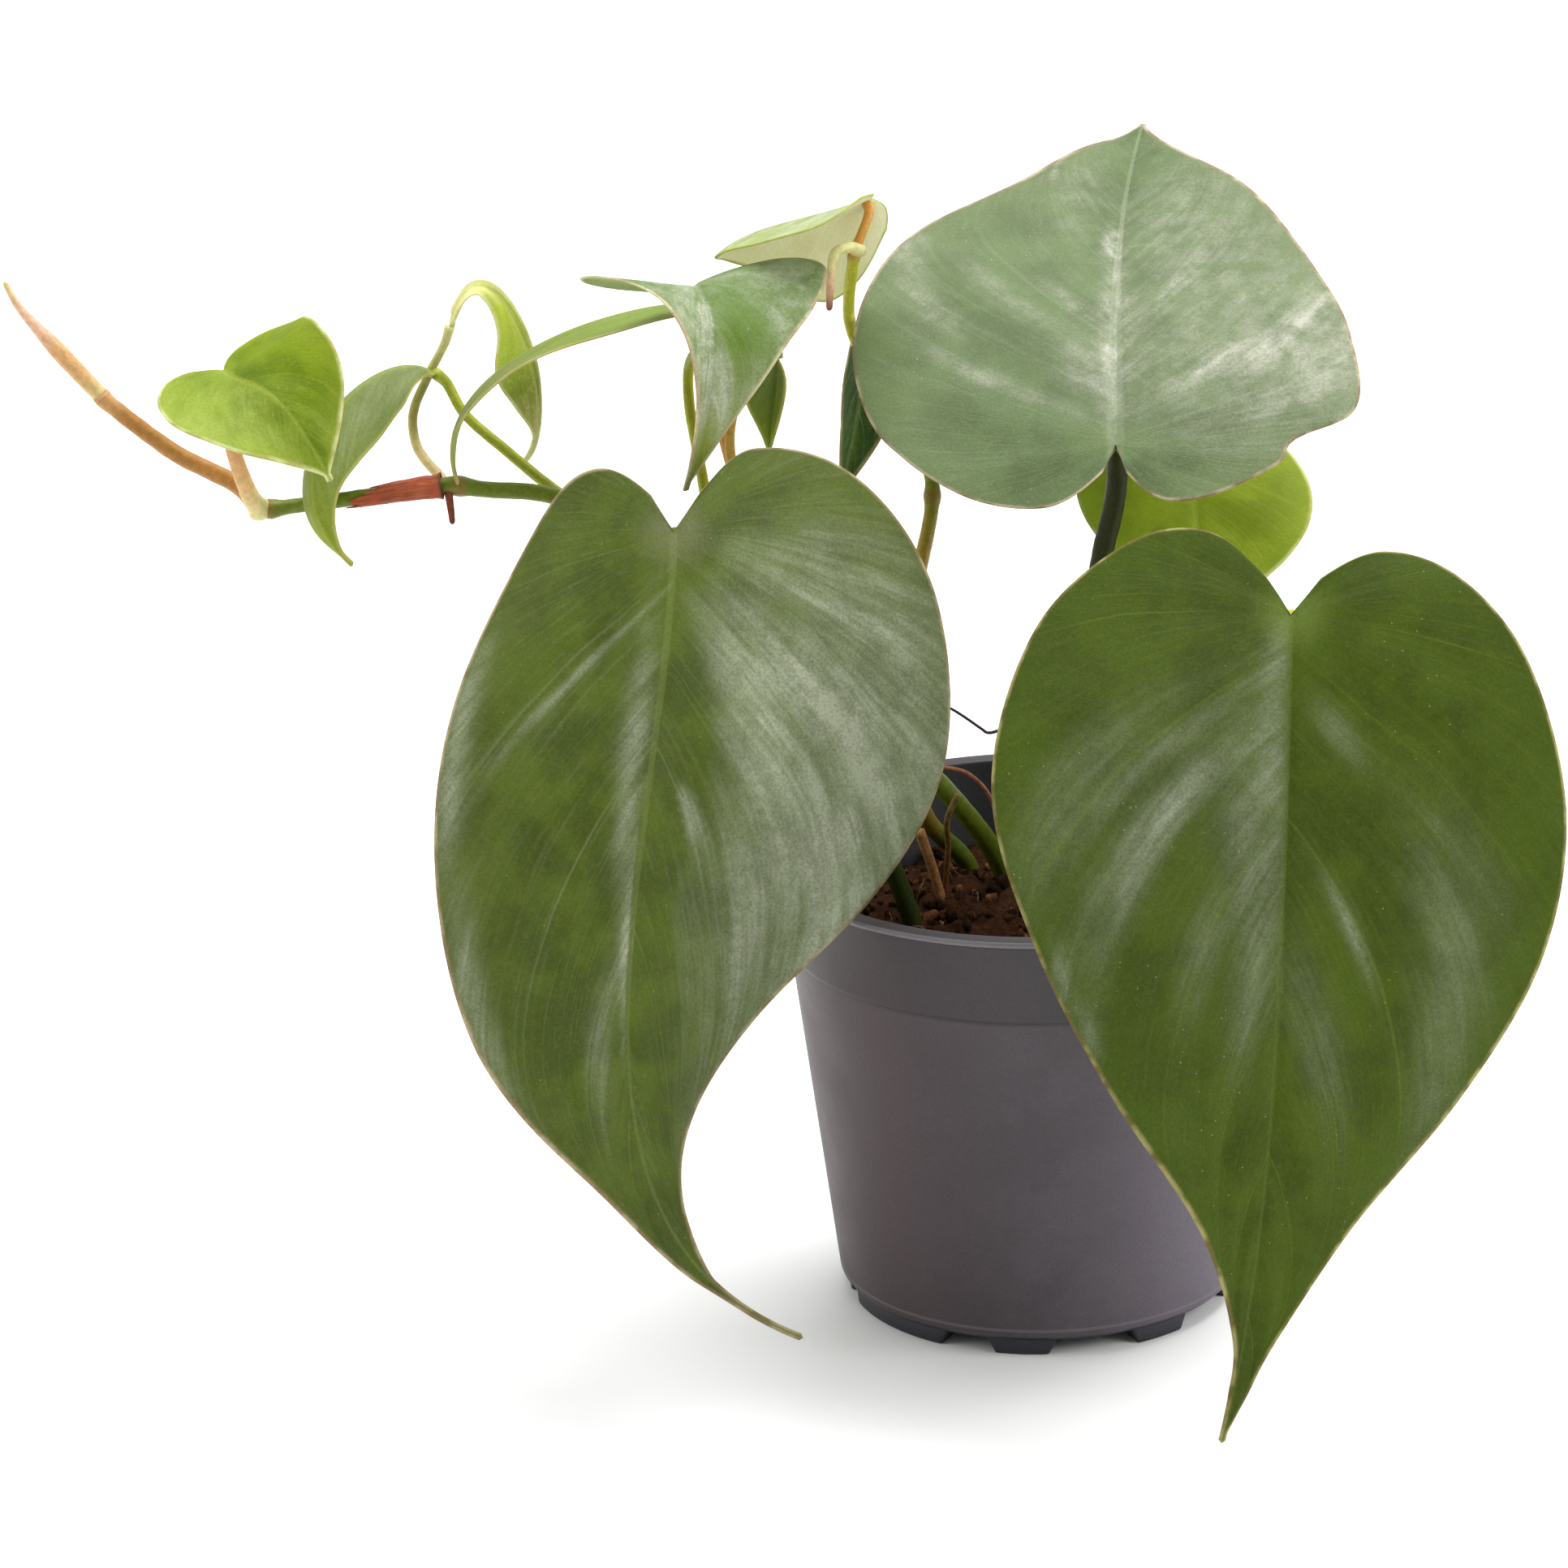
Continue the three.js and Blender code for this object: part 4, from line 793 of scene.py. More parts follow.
LIMBS = {
    "stem_trailing": dict(
        path=[
            (-2.6, 17.5, 32), (-3.6, 15.5, 42), (-10.2, 8, 55.3), (-24.4, 6.5, 70), (-39, 4, 83.3),
            (-51.4, 2, 91.3), (-58.8, 2, 92.2), (-63.3, 2, 92.7), (-71.5, 2, 91.6), (-83.4, 2, 90.1),
        ],
        radius=(1.2, 0.8), slot="stem", tint=[MOSS, GREEN, OLIVE, GREEN, GREEN],
        joints=[(0.36, 0.3, 1.2), (0.81, 0.28, 1.1), (0.992, 0.35, 1.2)],
        end="round",
    ),
    "stem_upright": dict(
        path=[
            (-7, 19.5, 32), (-7.6, 18.5, 42), (-12.2, 15.2, 49.1), (-14.8, 11.4, 60.7),
            (-13.7, 6, 75.9), (-12.2, 6, 82.4), (-11, 7, 88.5), (-11.3, 8.5, 92), (-16, 11.5, 100),
            (-19.5, 11.7, 107), (-19.2, 8, 114.5), (-18.8, 7, 117),
        ],
        radius=(1.1, 0.6), slot="stem", tint=[MOSS, MOSS, ORANGE, ORANGE, OLIVE, YELLOW, YELLOW],
        joints=[(0.47, 0.28, 1.0), (0.66, 0.2, 0.9), (0.995, 0.2, 0.8)],
        end="round",
    ),
    "petiole_front_left": dict(
        path=[(-12.6, -1.2, 32), (-13.5, -1.6, 42), (-15.8, -2.5, 50), (-24, -5, 70), (-34, -9, 87)],
        radius=(1.1, 0.9), slot="petiole_mature", tint=[DARK, DARK, GREEN],
    ),
    "petiole_front_right": dict(
        path=[(6, 1, 32), (6.5, 0, 42), (11, -6, 60), (20, -20, 79), (25.5, -29, 85)],
        radius=(1.2, 1), slot="petiole_mature", tint=[DARK, DARK, YELLOW],
    ),
    "petiole_top": dict(
        path=[(2.6, 10.5, 32), (3, 9.5, 42), (5, 4, 62), (7.1, -1, 83.6), (8.8, -3, 92.5)],
        radius=(1.4, 1.1), slot="petiole_mature", tint=[DARK, DARK, DUSKY, DUSKY],
    ),
    "petiole_back_right": dict(
        path=[(8.4, 14, 32), (8.8, 14.5, 42), (11, 17, 62), (14.5, 19.5, 79)],
        radius=(0.9, 0.7), slot="petiole_mature", tint=[MOSS, OLIVE, YELLOW],
    ),
    "petiole_crown": dict(
        path=[(-18.8, 7, 116.8), (-18.6, 6.6, 117.6)],
        radius=(0.5, 0.45), slot="petiole_young", tint=[ORANGE, ORANGE],
    ),
    "petiole_centre": dict(
        path=[(-27, 6.3, 72.7), (-30, 7.2, 84), (-32.5, 7.8, 92.5), (-33.8, 7.6, 98), (-35.2, 5.5, 106)],
        radius=(0.7, 0.6), slot="petiole_young", tint=[OLIVE, ORANGE, OLIVE],
    ),
    "petiole_far_left": dict(
        path=[(-83.3, 2, 90.2), (-84.2, -0.6, 93), (-85.5, -1.6, 98), (-86.4, -1.8, 102.6)],
        radius=(1.05, 0.55), slot="petiole_young", tint=[PALE, SAND, TAN, TAN],
    ),
    "petiole_left_hanging": dict(
        path=[(-46, 2.9, 88), (-51.3, 5, 90.8), (-57, 7.4, 94.9), (-61.5, 9.2, 98.6)],
        radius=(0.65, 0.55), slot="petiole_young", tint=[OLIVE, LIME, LIME],
    ),
    "petiole_left_curled": dict(
        path=[
            (-63.3, 2, 92.7), (-63.9, 6, 92.2), (-66.9, 11.5, 94.2), (-67.3, 12.9, 97.2),
            (-65.3, 11.6, 102.2),
        ],
        radius=(0.6, 0.45), slot="petiole_young", tint=[CREAM, CREAM, OLIVE, PALE],
    ),
    "petiole_left_folded": dict(
        path=[(-34, 4.8, 78.8), (-35.8, 8.4, 91), (-37.1, 9.4, 99.5), (-37, 9.2, 103.5)],
        radius=(0.65, 0.55), slot="petiole_young", tint=[OLIVE, YELLOW, GREEN],
    ),
    "petiole_back_hanging": dict(
        path=[(-14, 10.3, 97), (-13.5, 18, 98), (-15, 24, 98.5)],
        radius=(0.55, 0.45), slot="petiole_young", tint=[OLIVE, GREEN],
    ),
    "petiole_back_young": dict(
        path=[
            (-14.6, 9.4, 66), (-20, 5.2, 75), (-29.3, 4.4, 87.5), (-32.4, 4.4, 94), (-32.2, 6, 99.5),
            (-29.5, 8, 104.5),
        ],
        radius=(0.7, 0.5), slot="petiole_young", tint=[OLIVE, ORANGE, OLIVE],
    ),
    "shoot_internode": dict(
        path=[
            (-83.4, 2, 90.1), (-85.3, 2.6, 92.5), (-92.2, 2.6, 96.5), (-99.6, 3, 102.5),
            (-99.95, 3.03, 102.95),
        ],
        radius=(1.0, 0.88), slot="new_shoot", tint=[SAND, OCHRE, OCHRE, OCHRE, OCHRE, OCHRE, SAND],
        joints=[(0.985, 0.12, 0.9)],
    ),
    "shoot_sheath": dict(
        path=[(-99.9, 3, 102.9), (-105.3, 4, 108.8), (-108.6, 5, 112.6), (-109.9, 6, 114.8)],
        radius=(0.9, 0.3), slot="new_shoot", tint=[CREAM, SAND, SAND, PINK, PINK, CREAM],
        joints=[(0.42, 0.26, 4.2)],
        end="round",
    ),
    "bud_sheath": dict(
        path=[
            (-18.2, 6.2, 117.2), (-19.4, 3.6, 118.3), (-20.8, 2.8, 118), (-21.3, 2.6, 115.6),
            (-21.6, 2.7, 111.6),
        ],
        radius=(0.7, 0.35), slot="new_shoot", tint=[PALE, PALE, PALE, PINK, RUST],
        end="round",
    ),
    "root_arch": dict(
        path=[(-14.6, 9, 67), (-8.9, 5, 65.4), (-6, 2.2, 64.3), (-5.2, 1, 64.2), (-1, -5, 68)],
        radius=(0.13, 0.2), slot="aerial_root", tint=[colour(66, 46, 48), colour(54, 38, 44)],
        end="round",
    ),
    "root_orange": dict(
        path=[
            (-12.6, 19.6, 53.2), (-9.6, 19.5, 53.4), (-7.4, 19, 52.8), (-5.1, 19, 50), (-4, 20.6, 42),
            (-4.2, 21, 37),
        ],
        radius=(0.26, 0.2), slot="aerial_root", tint=[colour(136, 86, 66), colour(122, 66, 56)],
        end="round",
    ),
    "root_olive": dict(
        path=[(-8.6, 6.2, 55.2), (-9.8, 6.5, 52.3), (-9.8, 9, 48), (-10.2, 11.5, 42), (-10.2, 12, 37)],
        radius=(0.35, 0.3), slot="aerial_root", tint=[colour(120, 100, 48), RUST],
        end="round",
    ),
    "root_brown": dict(
        path=[(-12.9, 6, 51), (-11.6, 7, 46.5), (-10.6, 7.4, 42), (-10.2, 7.6, 36)],
        radius=(0.6, 0.5), slot="aerial_root", tint=[colour(158, 112, 66), colour(134, 88, 56)],
        end="round",
    ),
    "root_stub": dict(
        path=[(-63, 1.9, 92.6), (-62.7, 0.6, 91), (-62.5, 0.2, 88.9)],
        radius=(0.5, 0.3), slot="aerial_root", tint=[RUST, RUST],
        end="round",
    ),
}


def centripetal(path, per_span=24):
    """Points of a centripetal Catmull-Rom curve through path."""
    p = np.array(path, float)
    p = np.concatenate([[2 * p[0] - p[1]], p, [2 * p[-1] - p[-2]]])
    made = []
    for i in range(1, len(p) - 2):
        a, b, c, d = p[i - 1 : i + 3]
        t1, t2, t3 = (max(np.linalg.norm(q - r) ** 0.5, 1e-4) for q, r in ((b, a), (c, b), (d, c)))
        m1 = ((b - a) / t1 - (c - a) / (t1 + t2) + (c - b) / t2) * t2
        m2 = ((c - b) / t2 - (d - b) / (t2 + t3) + (d - c) / t3) * t2
        last = i == len(p) - 3
        t = np.linspace(0, 1, per_span + 1)[:, None]
        t = t if last else t[:-1]
        points = (2 * t**3 - 3 * t**2 + 1) * b + (3 * t**2 - 2 * t**3) * c
        made.append(points + (t**3 - 2 * t**2 + t) * m1 + (t**3 - t**2) * m2)
    return np.concatenate(made)


def turns(count):
    """Angles evenly round a circle."""
    return [2 * math.pi * j / count for j in range(count)]


def on_circle(r, angle, z):
    return r * math.cos(angle), r * math.sin(angle), z


def grid_faces(rows, width, closed=True):
    """Faces between rows of width points each; closed joins each row's last point to its first."""
    faces = []
    for i in range(rows - 1):
        for j in range(width if closed else width - 1):
            n = (j + 1) % width
            faces.append([i * width + j, i * width + n, (i + 1) * width + n, (i + 1) * width + j])
    return faces


def sweep(path, radius, step=0.4, sides=20, joints=(), end=None, ridge=0.02, seed=0):
    """A tube along a path: rings of points with the place along it, from 0 to 1, and a closed skin."""
    curve = centripetal(path)
    steps = np.linalg.norm(np.diff(curve, axis=0), axis=1)
    length = np.concatenate([[0], np.cumsum(steps)])
    rings = max(8, int(length[-1] / step))
    t = np.linspace(0, 1, rings + 1)
    if end == "round":
        t = np.concatenate([t[:-1], 1 - np.array([0.6, 0.3, 0.1, 0.0]) / rings])
    centre = np.stack([np.interp(t * length[-1], length, curve[:, i]) for i in range(3)], axis=-1)
    tangent = unit(np.gradient(centre, axis=0))
    side = np.cross(tangent[0], (0.3, 0.5, 0.8))
    verts, along = [], []
    for i, place in enumerate(t):
        side = unit(side - side.dot(tangent[i]) * tangent[i])
        other = np.cross(tangent[i], side)
        r = radius[0] + (radius[1] - radius[0]) * place
        for at, swell, width in joints:
            r += swell * math.exp(-(((place - at) * length[-1] / width) ** 2))
        if end == "round":
            left = (1 - place) * length[-1]
            r *= math.sqrt(max(0.004, 1 - max(0.0, 1 - left / (1.3 * r)) ** 2))
        for a in turns(sides):
            direction = math.cos(a) * side + math.sin(a) * other
            rough = noise.noise(Vector(centre[i] * 0.9 + direction * 1.2) + Vector((seed, 0, 0)))
            ribs = ridge * math.cos(5 * a + 3 * place)
            verts.append(centre[i] + direction * r * (1 + ribs + 0.05 * rough))
            along.append(place)
    faces = grid_faces(len(t), sides)
    faces.append(list(reversed(range(sides))))
    faces.append(list(range(len(verts) - sides, len(verts))))
    return np.array(verts), faces, np.array(along)


def limb_finish(name, dull, streaks, bump, glow=0.05, shine=0.25):
    f = Finish(name, Subsurface_Weight=glow, Subsurface_Radius=(0.5 * MM, 0.7 * MM, 0.3 * MM),
               Subsurface_Scale=1.0, Specular_IOR_Level=shine)
    shade = f.ramp(f.noise(1.6, 4, 0.6), 0.3, 0.7, 1 - streaks, 1 + streaks)
    base = f.tone(f.attribute("tint", "Color"), shade)
    speck = f.ramp(f.cells(1.5), 0.08, 0.2, 1.0, 0.0)
    base = f.mix(f.times(speck, 0.22), base, colour(96, 74, 44))
    base = f.mix(f.times(f.attribute("scar"), 0.65), base, colour(150, 104, 62))
    f.base(base)
    f.rough(f.plus(dull, f.times(f.noise(0.8, 2), 0.12)))
    f.bump(f.times(f.noise(2.6, 3), 0.6), bump)
    return f.material


FINISHES = {
    "stem": limb_finish("stem_skin", 0.36, 0.16, 0.08),
    "petiole_mature": limb_finish("petiole_mature_skin", 0.4, 0.14, 0.06, shine=0.12),
    "petiole_young": limb_finish("petiole_young_skin", 0.4, 0.12, 0.06, glow=0.12),
    "new_shoot": limb_finish("shoot_skin", 0.4, 0.14, 0.09, glow=0.1),
    "aerial_root": limb_finish("root_skin", 0.7, 0.3, 0.22),
}

blades = {}
for name, leaf in LEAVES.items():
    obj, blades[name] = build_leaf(name, leaf)
    finish = leaf_finish(obj.name + "_skin", leaf["look"], blades[name].length)
    piece(obj, finish, leaf["slot"], name)


def petiole_path(path, name):
    """A petiole's path, carried on to the blade that it bears."""
    leaf = LEAVES[name]
    point, tangent, normal, _ = (w[0] for w in blades[name].frame(np.zeros(1)))
    arches = leaf.get("arches")
    head = 0.1 if arches else leaf.get("head", 0.5)
    end = point + tangent * head - normal * (0 if arches else 0.45)
    approach = end - (1.8 * tangent if arches else leaf.get("run", 3) * normal)
    return [*path, tuple(approach), tuple(end)]


# A petiole swells a little at both ends, and every limb is scarred at its joints
SCAR_WIDTH = 0.006
for number, (name, limb) in enumerate(LIMBS.items()):
    path, radius, joints = limb["path"], limb["radius"], limb.get("joints", ())
    if name.startswith("petiole"):
        path = petiole_path(path, name.replace("petiole", "leaf"))
        joints = [*joints, (1.0, 0.25 * radius[1], 1.6), (0.0, 0.3 * radius[0], 1.4)]
    root = limb["slot"] == "aerial_root"
    sides, ridge = (14, 0.05) if root else (20, 0.02)
    verts, faces, along = sweep(
        path, radius, sides=sides, joints=joints, end=limb.get("end"), ridge=ridge, seed=number,
    )
    scar = np.zeros(len(along))
    for at, _, _ in limb.get("joints", ()):
        scar += np.exp(-(((along - at) / SCAR_WIDTH) ** 2))
    looks = dict(tint=tint_along(limb["tint"], along), scar=np.clip(scar, 0, 1))
    piece(new_object("limb_" + name, verts, faces, looks), FINISHES[limb["slot"]], limb["slot"], name)


# The pot
RIM_RADIUS = 30
POT_HEIGHT = 51.5
WALL = 0.8
LIP_OVERHANG = 1.0
LIP_HEIGHT = 0.8
COLLAR_HEIGHT = 10.3
COLLAR_STEP = 0.4
WALL_TAPER = 0.128
FOOT_HEIGHT = 1.8
CHAMFER = 0.9
FLOOR = 1.3
FEET = ((-98, -79), (-75, -28.5), (-17, 5), (27, 49), (71, 93), (115, 137), (159, 181), (203, 225))
FOOT_SLANT = 3
FOOT_WIDTH = 2.4
FOOT_BEVEL = 0.25
SUNK = 0.5
PAD_RADIUS = 4.5
PAD_CHAMFER = 0.4
DRAIN_HOLES = 6
HOLE_RADIUS = 2.2
HOLE_CIRCLE = 11.5
AXIS = 0.01
GAP = 0.3
LIP_BASE = POT_HEIGHT - LIP_HEIGHT
COLLAR_BASE = POT_HEIGHT - COLLAR_HEIGHT
SOIL_LEVEL = 42


def collar_radius(z):
    return RIM_RADIUS - LIP_OVERHANG - WALL_TAPER * (POT_HEIGHT - z)


def body_radius(z):
    return collar_radius(z) - COLLAR_STEP


def inner_radius(z):
    return body_radius(z) - WALL


def rounded(profile, cut=0.28, steps=3):
    """The profile with each inner corner rounded off."""
    made = [profile[0]]
    for before, corner, after in zip(profile, profile[1:], profile[2:]):
        a, b, c = (np.array(q, float) for q in (before, corner, after))
        near = min(cut, np.linalg.norm(a - b) * 0.45, np.linalg.norm(c - b) * 0.45)
        start, end = b + unit(a - b) * near, b + unit(c - b) * near
        for i in range(steps + 1):
            t = i / steps
            made.append(tuple((1 - t) ** 2 * start + 2 * t * (1 - t) * b + t**2 * end))
    made.append(profile[-1])
    return made


def turned(profile, segments):
    verts = [on_circle(r, a, z) for r, z in profile for a in turns(segments)]
    return verts, grid_faces(len(profile), segments)


def arc_block(arc, outer, inner, top, steps=16):
    """A foot: a block on an arc, from the ground to top, its ends slanting in towards the ground."""
    verts = []
    for i in range(steps + 1):
        for r, z in ((inner, 0), (outer, 0), (outer, top), (inner, top)):
            slant = FOOT_SLANT * (1 - z / top)
            angle = arc[0] + slant + (arc[1] - arc[0] - 2 * slant) * i / steps - 90
            verts.append(on_circle(r, math.radians(angle), z))
    faces = grid_faces(steps + 1, 4)
    faces.append([3, 2, 1, 0])
    faces.append([steps * 4 + j for j in range(4)])
    return verts, faces


def bevelled(obj, width, segments=2):
    mesh = bmesh.new()
    mesh.from_mesh(obj.data)
    bmesh.ops.recalc_face_normals(mesh, faces=mesh.faces)
    sharp = [e for e in mesh.edges if e.calc_face_angle(0) > math.radians(30)]
    bmesh.ops.bevel(mesh, geom=sharp, offset=width * MM, segments=segments, profile=0.5, affect="EDGES")
    mesh.to_mesh(obj.data)
    mesh.free()


def joined(objects, name):
    """Several objects as one."""
    bpy.ops.object.select_all(action="DESELECT")
    for obj in objects:
        obj.select_set(True)
    bpy.context.view_layer.objects.active = objects[0]
    bpy.ops.object.join()
    objects[0].name = name
    return objects[0]


def cut_out(obj, tool):
    modifier = obj.modifiers.new("cut", "BOOLEAN")
    modifier.operation = "DIFFERENCE"
    modifier.solver = "EXACT"
    modifier.object = tool
    bpy.context.view_layer.update()
    graph = bpy.context.evaluated_depsgraph_get()
    mesh = bpy.data.meshes.new_from_object(obj.evaluated_get(graph))
    obj.modifiers.clear()
    obj.data = mesh
    bpy.data.objects.remove(tool)


def build_pot():
    chamfer_top = FOOT_HEIGHT + CHAMFER
    floor_top = FOOT_HEIGHT + FLOOR
    outline = [
        (AXIS, FOOT_HEIGHT),
        (body_radius(chamfer_top) - CHAMFER, FOOT_HEIGHT),
        (body_radius(chamfer_top), chamfer_top),
        (body_radius(COLLAR_BASE), COLLAR_BASE),
        (collar_radius(COLLAR_BASE), COLLAR_BASE + COLLAR_STEP),
        (collar_radius(LIP_BASE), LIP_BASE),
        (RIM_RADIUS, LIP_BASE + 0.15),
        (RIM_RADIUS, POT_HEIGHT),
        (inner_radius(POT_HEIGHT), POT_HEIGHT),
        (inner_radius(floor_top + 1), floor_top + 1),
        (inner_radius(floor_top) - 1, floor_top),
        (AXIS, floor_top),
    ]
    verts, faces = turned(rounded(outline), 240)
    pot = new_object("pot_shell", verts, faces)
    outer = body_radius(chamfer_top) - CHAMFER - 0.1
    feet = []
    for arc in FEET:
        foot = new_object("foot", *arc_block(arc, outer, outer - FOOT_WIDTH, FOOT_HEIGHT + SUNK))
        bevelled(foot, FOOT_BEVEL)
        feet.append(foot)
    pad_outline = [
        (AXIS, 0), (PAD_RADIUS - PAD_CHAMFER, 0), (PAD_RADIUS, PAD_CHAMFER),
        (PAD_RADIUS, FOOT_HEIGHT + SUNK), (AXIS, FOOT_HEIGHT + SUNK),
    ]
    pad = new_object("pad", *turned(pad_outline, 64))
    pot = joined([pot, pad, *feet], "pot_shell")
    holes = []
    bottom, top = 0.5, floor_top + 2.4
    for a in turns(DRAIN_HOLES):
        cx, cy, _ = on_circle(HOLE_CIRCLE, a, 0)
        verts, faces = turned([(AXIS, bottom), (HOLE_RADIUS, bottom), (HOLE_RADIUS, top), (AXIS, top)], 48)
        holes.append(new_object("hole", [(x + cx, y + cy, z) for x, y, z in verts], faces))
    for obj in (pot, *holes):
        mesh = bmesh.new()
        mesh.from_mesh(obj.data)
        bmesh.ops.remove_doubles(mesh, verts=mesh.verts, dist=0.05 * MM)
        bmesh.ops.recalc_face_normals(mesh, faces=mesh.faces)
        mesh.to_mesh(obj.data)
        mesh.free()
    cut_out(pot, joined(holes, "holes"))
    return pot


def pot_finish():
    """Dark plastic: painted pinker shade on one side, a painted paler highlight on the other, painted
    shadow lines under the collar and the lip, painted shade inside.
    """
    f = Finish("pot_plastic", Specular_IOR_Level=0.38)
    cloud = f.noise(0.09, 4, 0.6)
    x, y, z = f.axes()
    radius = f.math("SQRT", f.plus(f.times(x, x), f.times(y, y)))
    middle = f.plus(f.times(z, WALL_TAPER), inner_radius(0) + WALL / 2)
    inside = f.ramp(f.minus(middle, radius), -0.1, 0.1)
    outside = f.minus(1.0, inside)
    base = f.mix(f.ramp(cloud, 0.35, 0.65), colour(64, 58, 63), colour(74, 67, 72))
    # Painted shade, pinker, toward the left side, and a painted paler lavender highlight toward the right
    # side
    base = f.mix(f.ramp(x, -26, 4, 0.85, 0.0), base, colour(54, 36, 36))
    base = f.mix(f.ramp(x, 2, 20, 0.0, 0.8), base, colour(92, 83, 95))
    base = f.tone(base, f.ramp(f.times(outside, z), COLLAR_BASE - 0.05, COLLAR_BASE + 0.05, 1.0, 0.68))
    # Painted shadow lines under the collar's step and under the lip
    step = f.band(z, COLLAR_BASE - 0.5, COLLAR_BASE - 0.1, COLLAR_BASE, COLLAR_BASE + 0.3)
    groove = f.band(z, LIP_BASE - 0.6, LIP_BASE - 0.1, LIP_BASE, LIP_BASE + 0.1)
    for line, left in ((step, 0.6), (groove, 0.5)):
        base = f.tone(base, f.ramp(f.times(line, outside), 0.0, 1.0, 1.0, left))
    # The lip's outer edge paler: partly wear, partly a painted highlight
    rim = f.ramp(radius, RIM_RADIUS - 0.35, RIM_RADIUS - 0.05)
    wear_and_highlight = f.times(rim, f.ramp(z, LIP_BASE, LIP_BASE + 0.2))
    base = f.mix(f.times(wear_and_highlight, 0.6), base, colour(132, 126, 132))
    # A painted highlight line just above the bottom chamfer
    ridge = f.band(z, 3.0, 3.2, 3.35, 3.55)
    base = f.mix(f.times(ridge, 0.3), base, colour(122, 116, 124))
    # Painted shade on the inner wall, darker and bluer
    base = f.mix(f.times(inside, 0.9), base, colour(36, 35, 44))
    base = f.tone(base, f.ramp(f.noise(4.2, 2, 0.6), 0.25, 0.75, 0.88, 1.12))
    dust = f.times(f.ramp(f.cells(0.8), 0.03, 0.07, 1.0, 0.0), f.ramp(f.noise(0.2, 2), 0.5, 0.6))
    base = f.mix(f.times(dust, 0.35), base, colour(122, 114, 116))
    scuff = f.ramp(f.noise(0.5, 5, 0.75), 0.62, 0.75)
    f.base(f.mix(f.times(scuff, 0.12), base, colour(112, 105, 108)))
    f.rough(f.plus(f.ramp(cloud, 0.3, 0.7, 0.42, 0.52), f.times(scuff, 0.15)))
    f.bump(f.plus(f.noise(6.0, 2), f.times(f.noise(0.35, 2), 0.8)), 0.03)
    return f.material


piece(build_pot(), pot_finish(), "pot_plastic", "pot")


# The soil: a lumpy surface with loose crumbs, fibres and pale grit on it
def soil_height(x, y):
    mound = 1.1 * math.cos((math.hypot(x, y) / 26) * math.pi * 0.5)
    lumps = 1.4 * noise.fractal(Vector((x * 0.22, y * 0.22, 3.1)), 1.0, 2.0, 4)
    clods = 0.75 * abs(noise.noise(Vector((x * 0.75, y * 0.75, 9.4))))
    clods += 0.3 * noise.noise(Vector((x * 2, y * 2, 5)))
    return SOIL_LEVEL - 0.8 + mound + lumps + clods


DIRT = [colour(*c) for c in ((50, 28, 16), (66, 38, 21), (94, 56, 33), (34, 18, 10), (130, 84, 52))]
GRIT = [colour(134, 104, 80), colour(160, 136, 110)]
SOIL_RINGS = 72
SOIL_SEGMENTS = 220
CRUMBS = 900
CRUMB_SIZES = (0.16, 0.22, 0.3, 0.42, 0.62)
FIBRES = 80


def random_place(radius):
    """A random point within the radius."""
    r = radius * math.sqrt(random.random())
    return on_circle(r, random.uniform(0, 2 * math.pi), 0)[:2]


def build_soil():
    verts, tints = [], []
    top_radius = inner_radius(SOIL_LEVEL - 1) - GAP
    bottom = FOOT_HEIGHT + FLOOR + GAP
    for i in range(SOIL_RINGS + 1):
        for a in turns(SOIL_SEGMENTS):
            x, y, _ = on_circle(top_radius * max(i / SOIL_RINGS, 0.002), a, 0)
            verts.append((x, y, soil_height(x, y)))
            tints.append(DIRT[1])
    low_rings = [
        (inner_radius(bottom + 1) - GAP, bottom + 1),
        (inner_radius(bottom) - 1 - GAP, bottom),
        (0.05, bottom),
    ]
    for r, z in low_rings:
        verts.extend(on_circle(r, a, z) for a in turns(SOIL_SEGMENTS))
        tints.extend([DIRT[0]] * SOIL_SEGMENTS)
    faces = [[face[0], *face[:0:-1]] for face in grid_faces(SOIL_RINGS + 4, SOIL_SEGMENTS)]
    faces.append(list(range(SOIL_SEGMENTS)))
    faces.append(list(reversed(range(len(verts) - SOIL_SEGMENTS, len(verts)))))

    ball = bmesh.new()
    bmesh.ops.create_icosphere(ball, subdivisions=2, radius=1)
    ball_verts = [tuple(v.co) for v in ball.verts]
    ball_faces = [[v.index for v in face.verts] for face in ball.faces]
    ball.free()
    for n in range(CRUMBS):
        x, y = random_place(top_radius - 0.6)
        size = random.choice(CRUMB_SIZES) * random.uniform(0.8, 1.25)
        stretch = [random.uniform(0.55, 1.5) for _ in range(3)]
        shade = random.choice(GRIT) if size < 0.3 and random.random() < 0.1 else random.choice(DIRT)
        centre = Vector((x, y, soil_height(x, y) + size * 0.25))
        turn = Euler([random.uniform(0, 6.28) for _ in range(3)]).to_matrix()
        first = len(verts)
        for p in ball_verts:
            bulge = 1 + 0.9 * noise.noise(Vector(p) * 2.1 + Vector((n, 0, 0)))
            q = turn @ Vector([p[i] * stretch[i] * size * bulge for i in range(3)])
            verts.append(tuple(centre + q))
            tints.append(shade)
        faces.extend([[i + first for i in face] for face in ball_faces])
    for _ in range(FIBRES):
        x, y = random_place(top_radius - 3)
        heading = random.uniform(0, 2 * math.pi)
        length = random.uniform(1.5, 4)
        path = []
        for i in range(4):
            s = (i / 3 - 0.5) * length
            px = x + s * math.cos(heading) + random.uniform(-0.3, 0.3)
            py = y + s * math.sin(heading) + random.uniform(-0.3, 0.3)
            path.append((px, py, soil_height(px, py) + random.uniform(0.15, 0.7)))
        fibre, skin, _ = sweep(path, (0.09, 0.05), step=0.5, sides=5)
        first = len(verts)
        verts.extend(map(tuple, fibre))
        tints.extend([random.choice((DIRT[2], DIRT[4], GRIT[0]))] * len(fibre))
        faces.extend([[i + first for i in face] for face in skin])
    return new_object("soil_plug", verts, faces, dict(tint=tints))


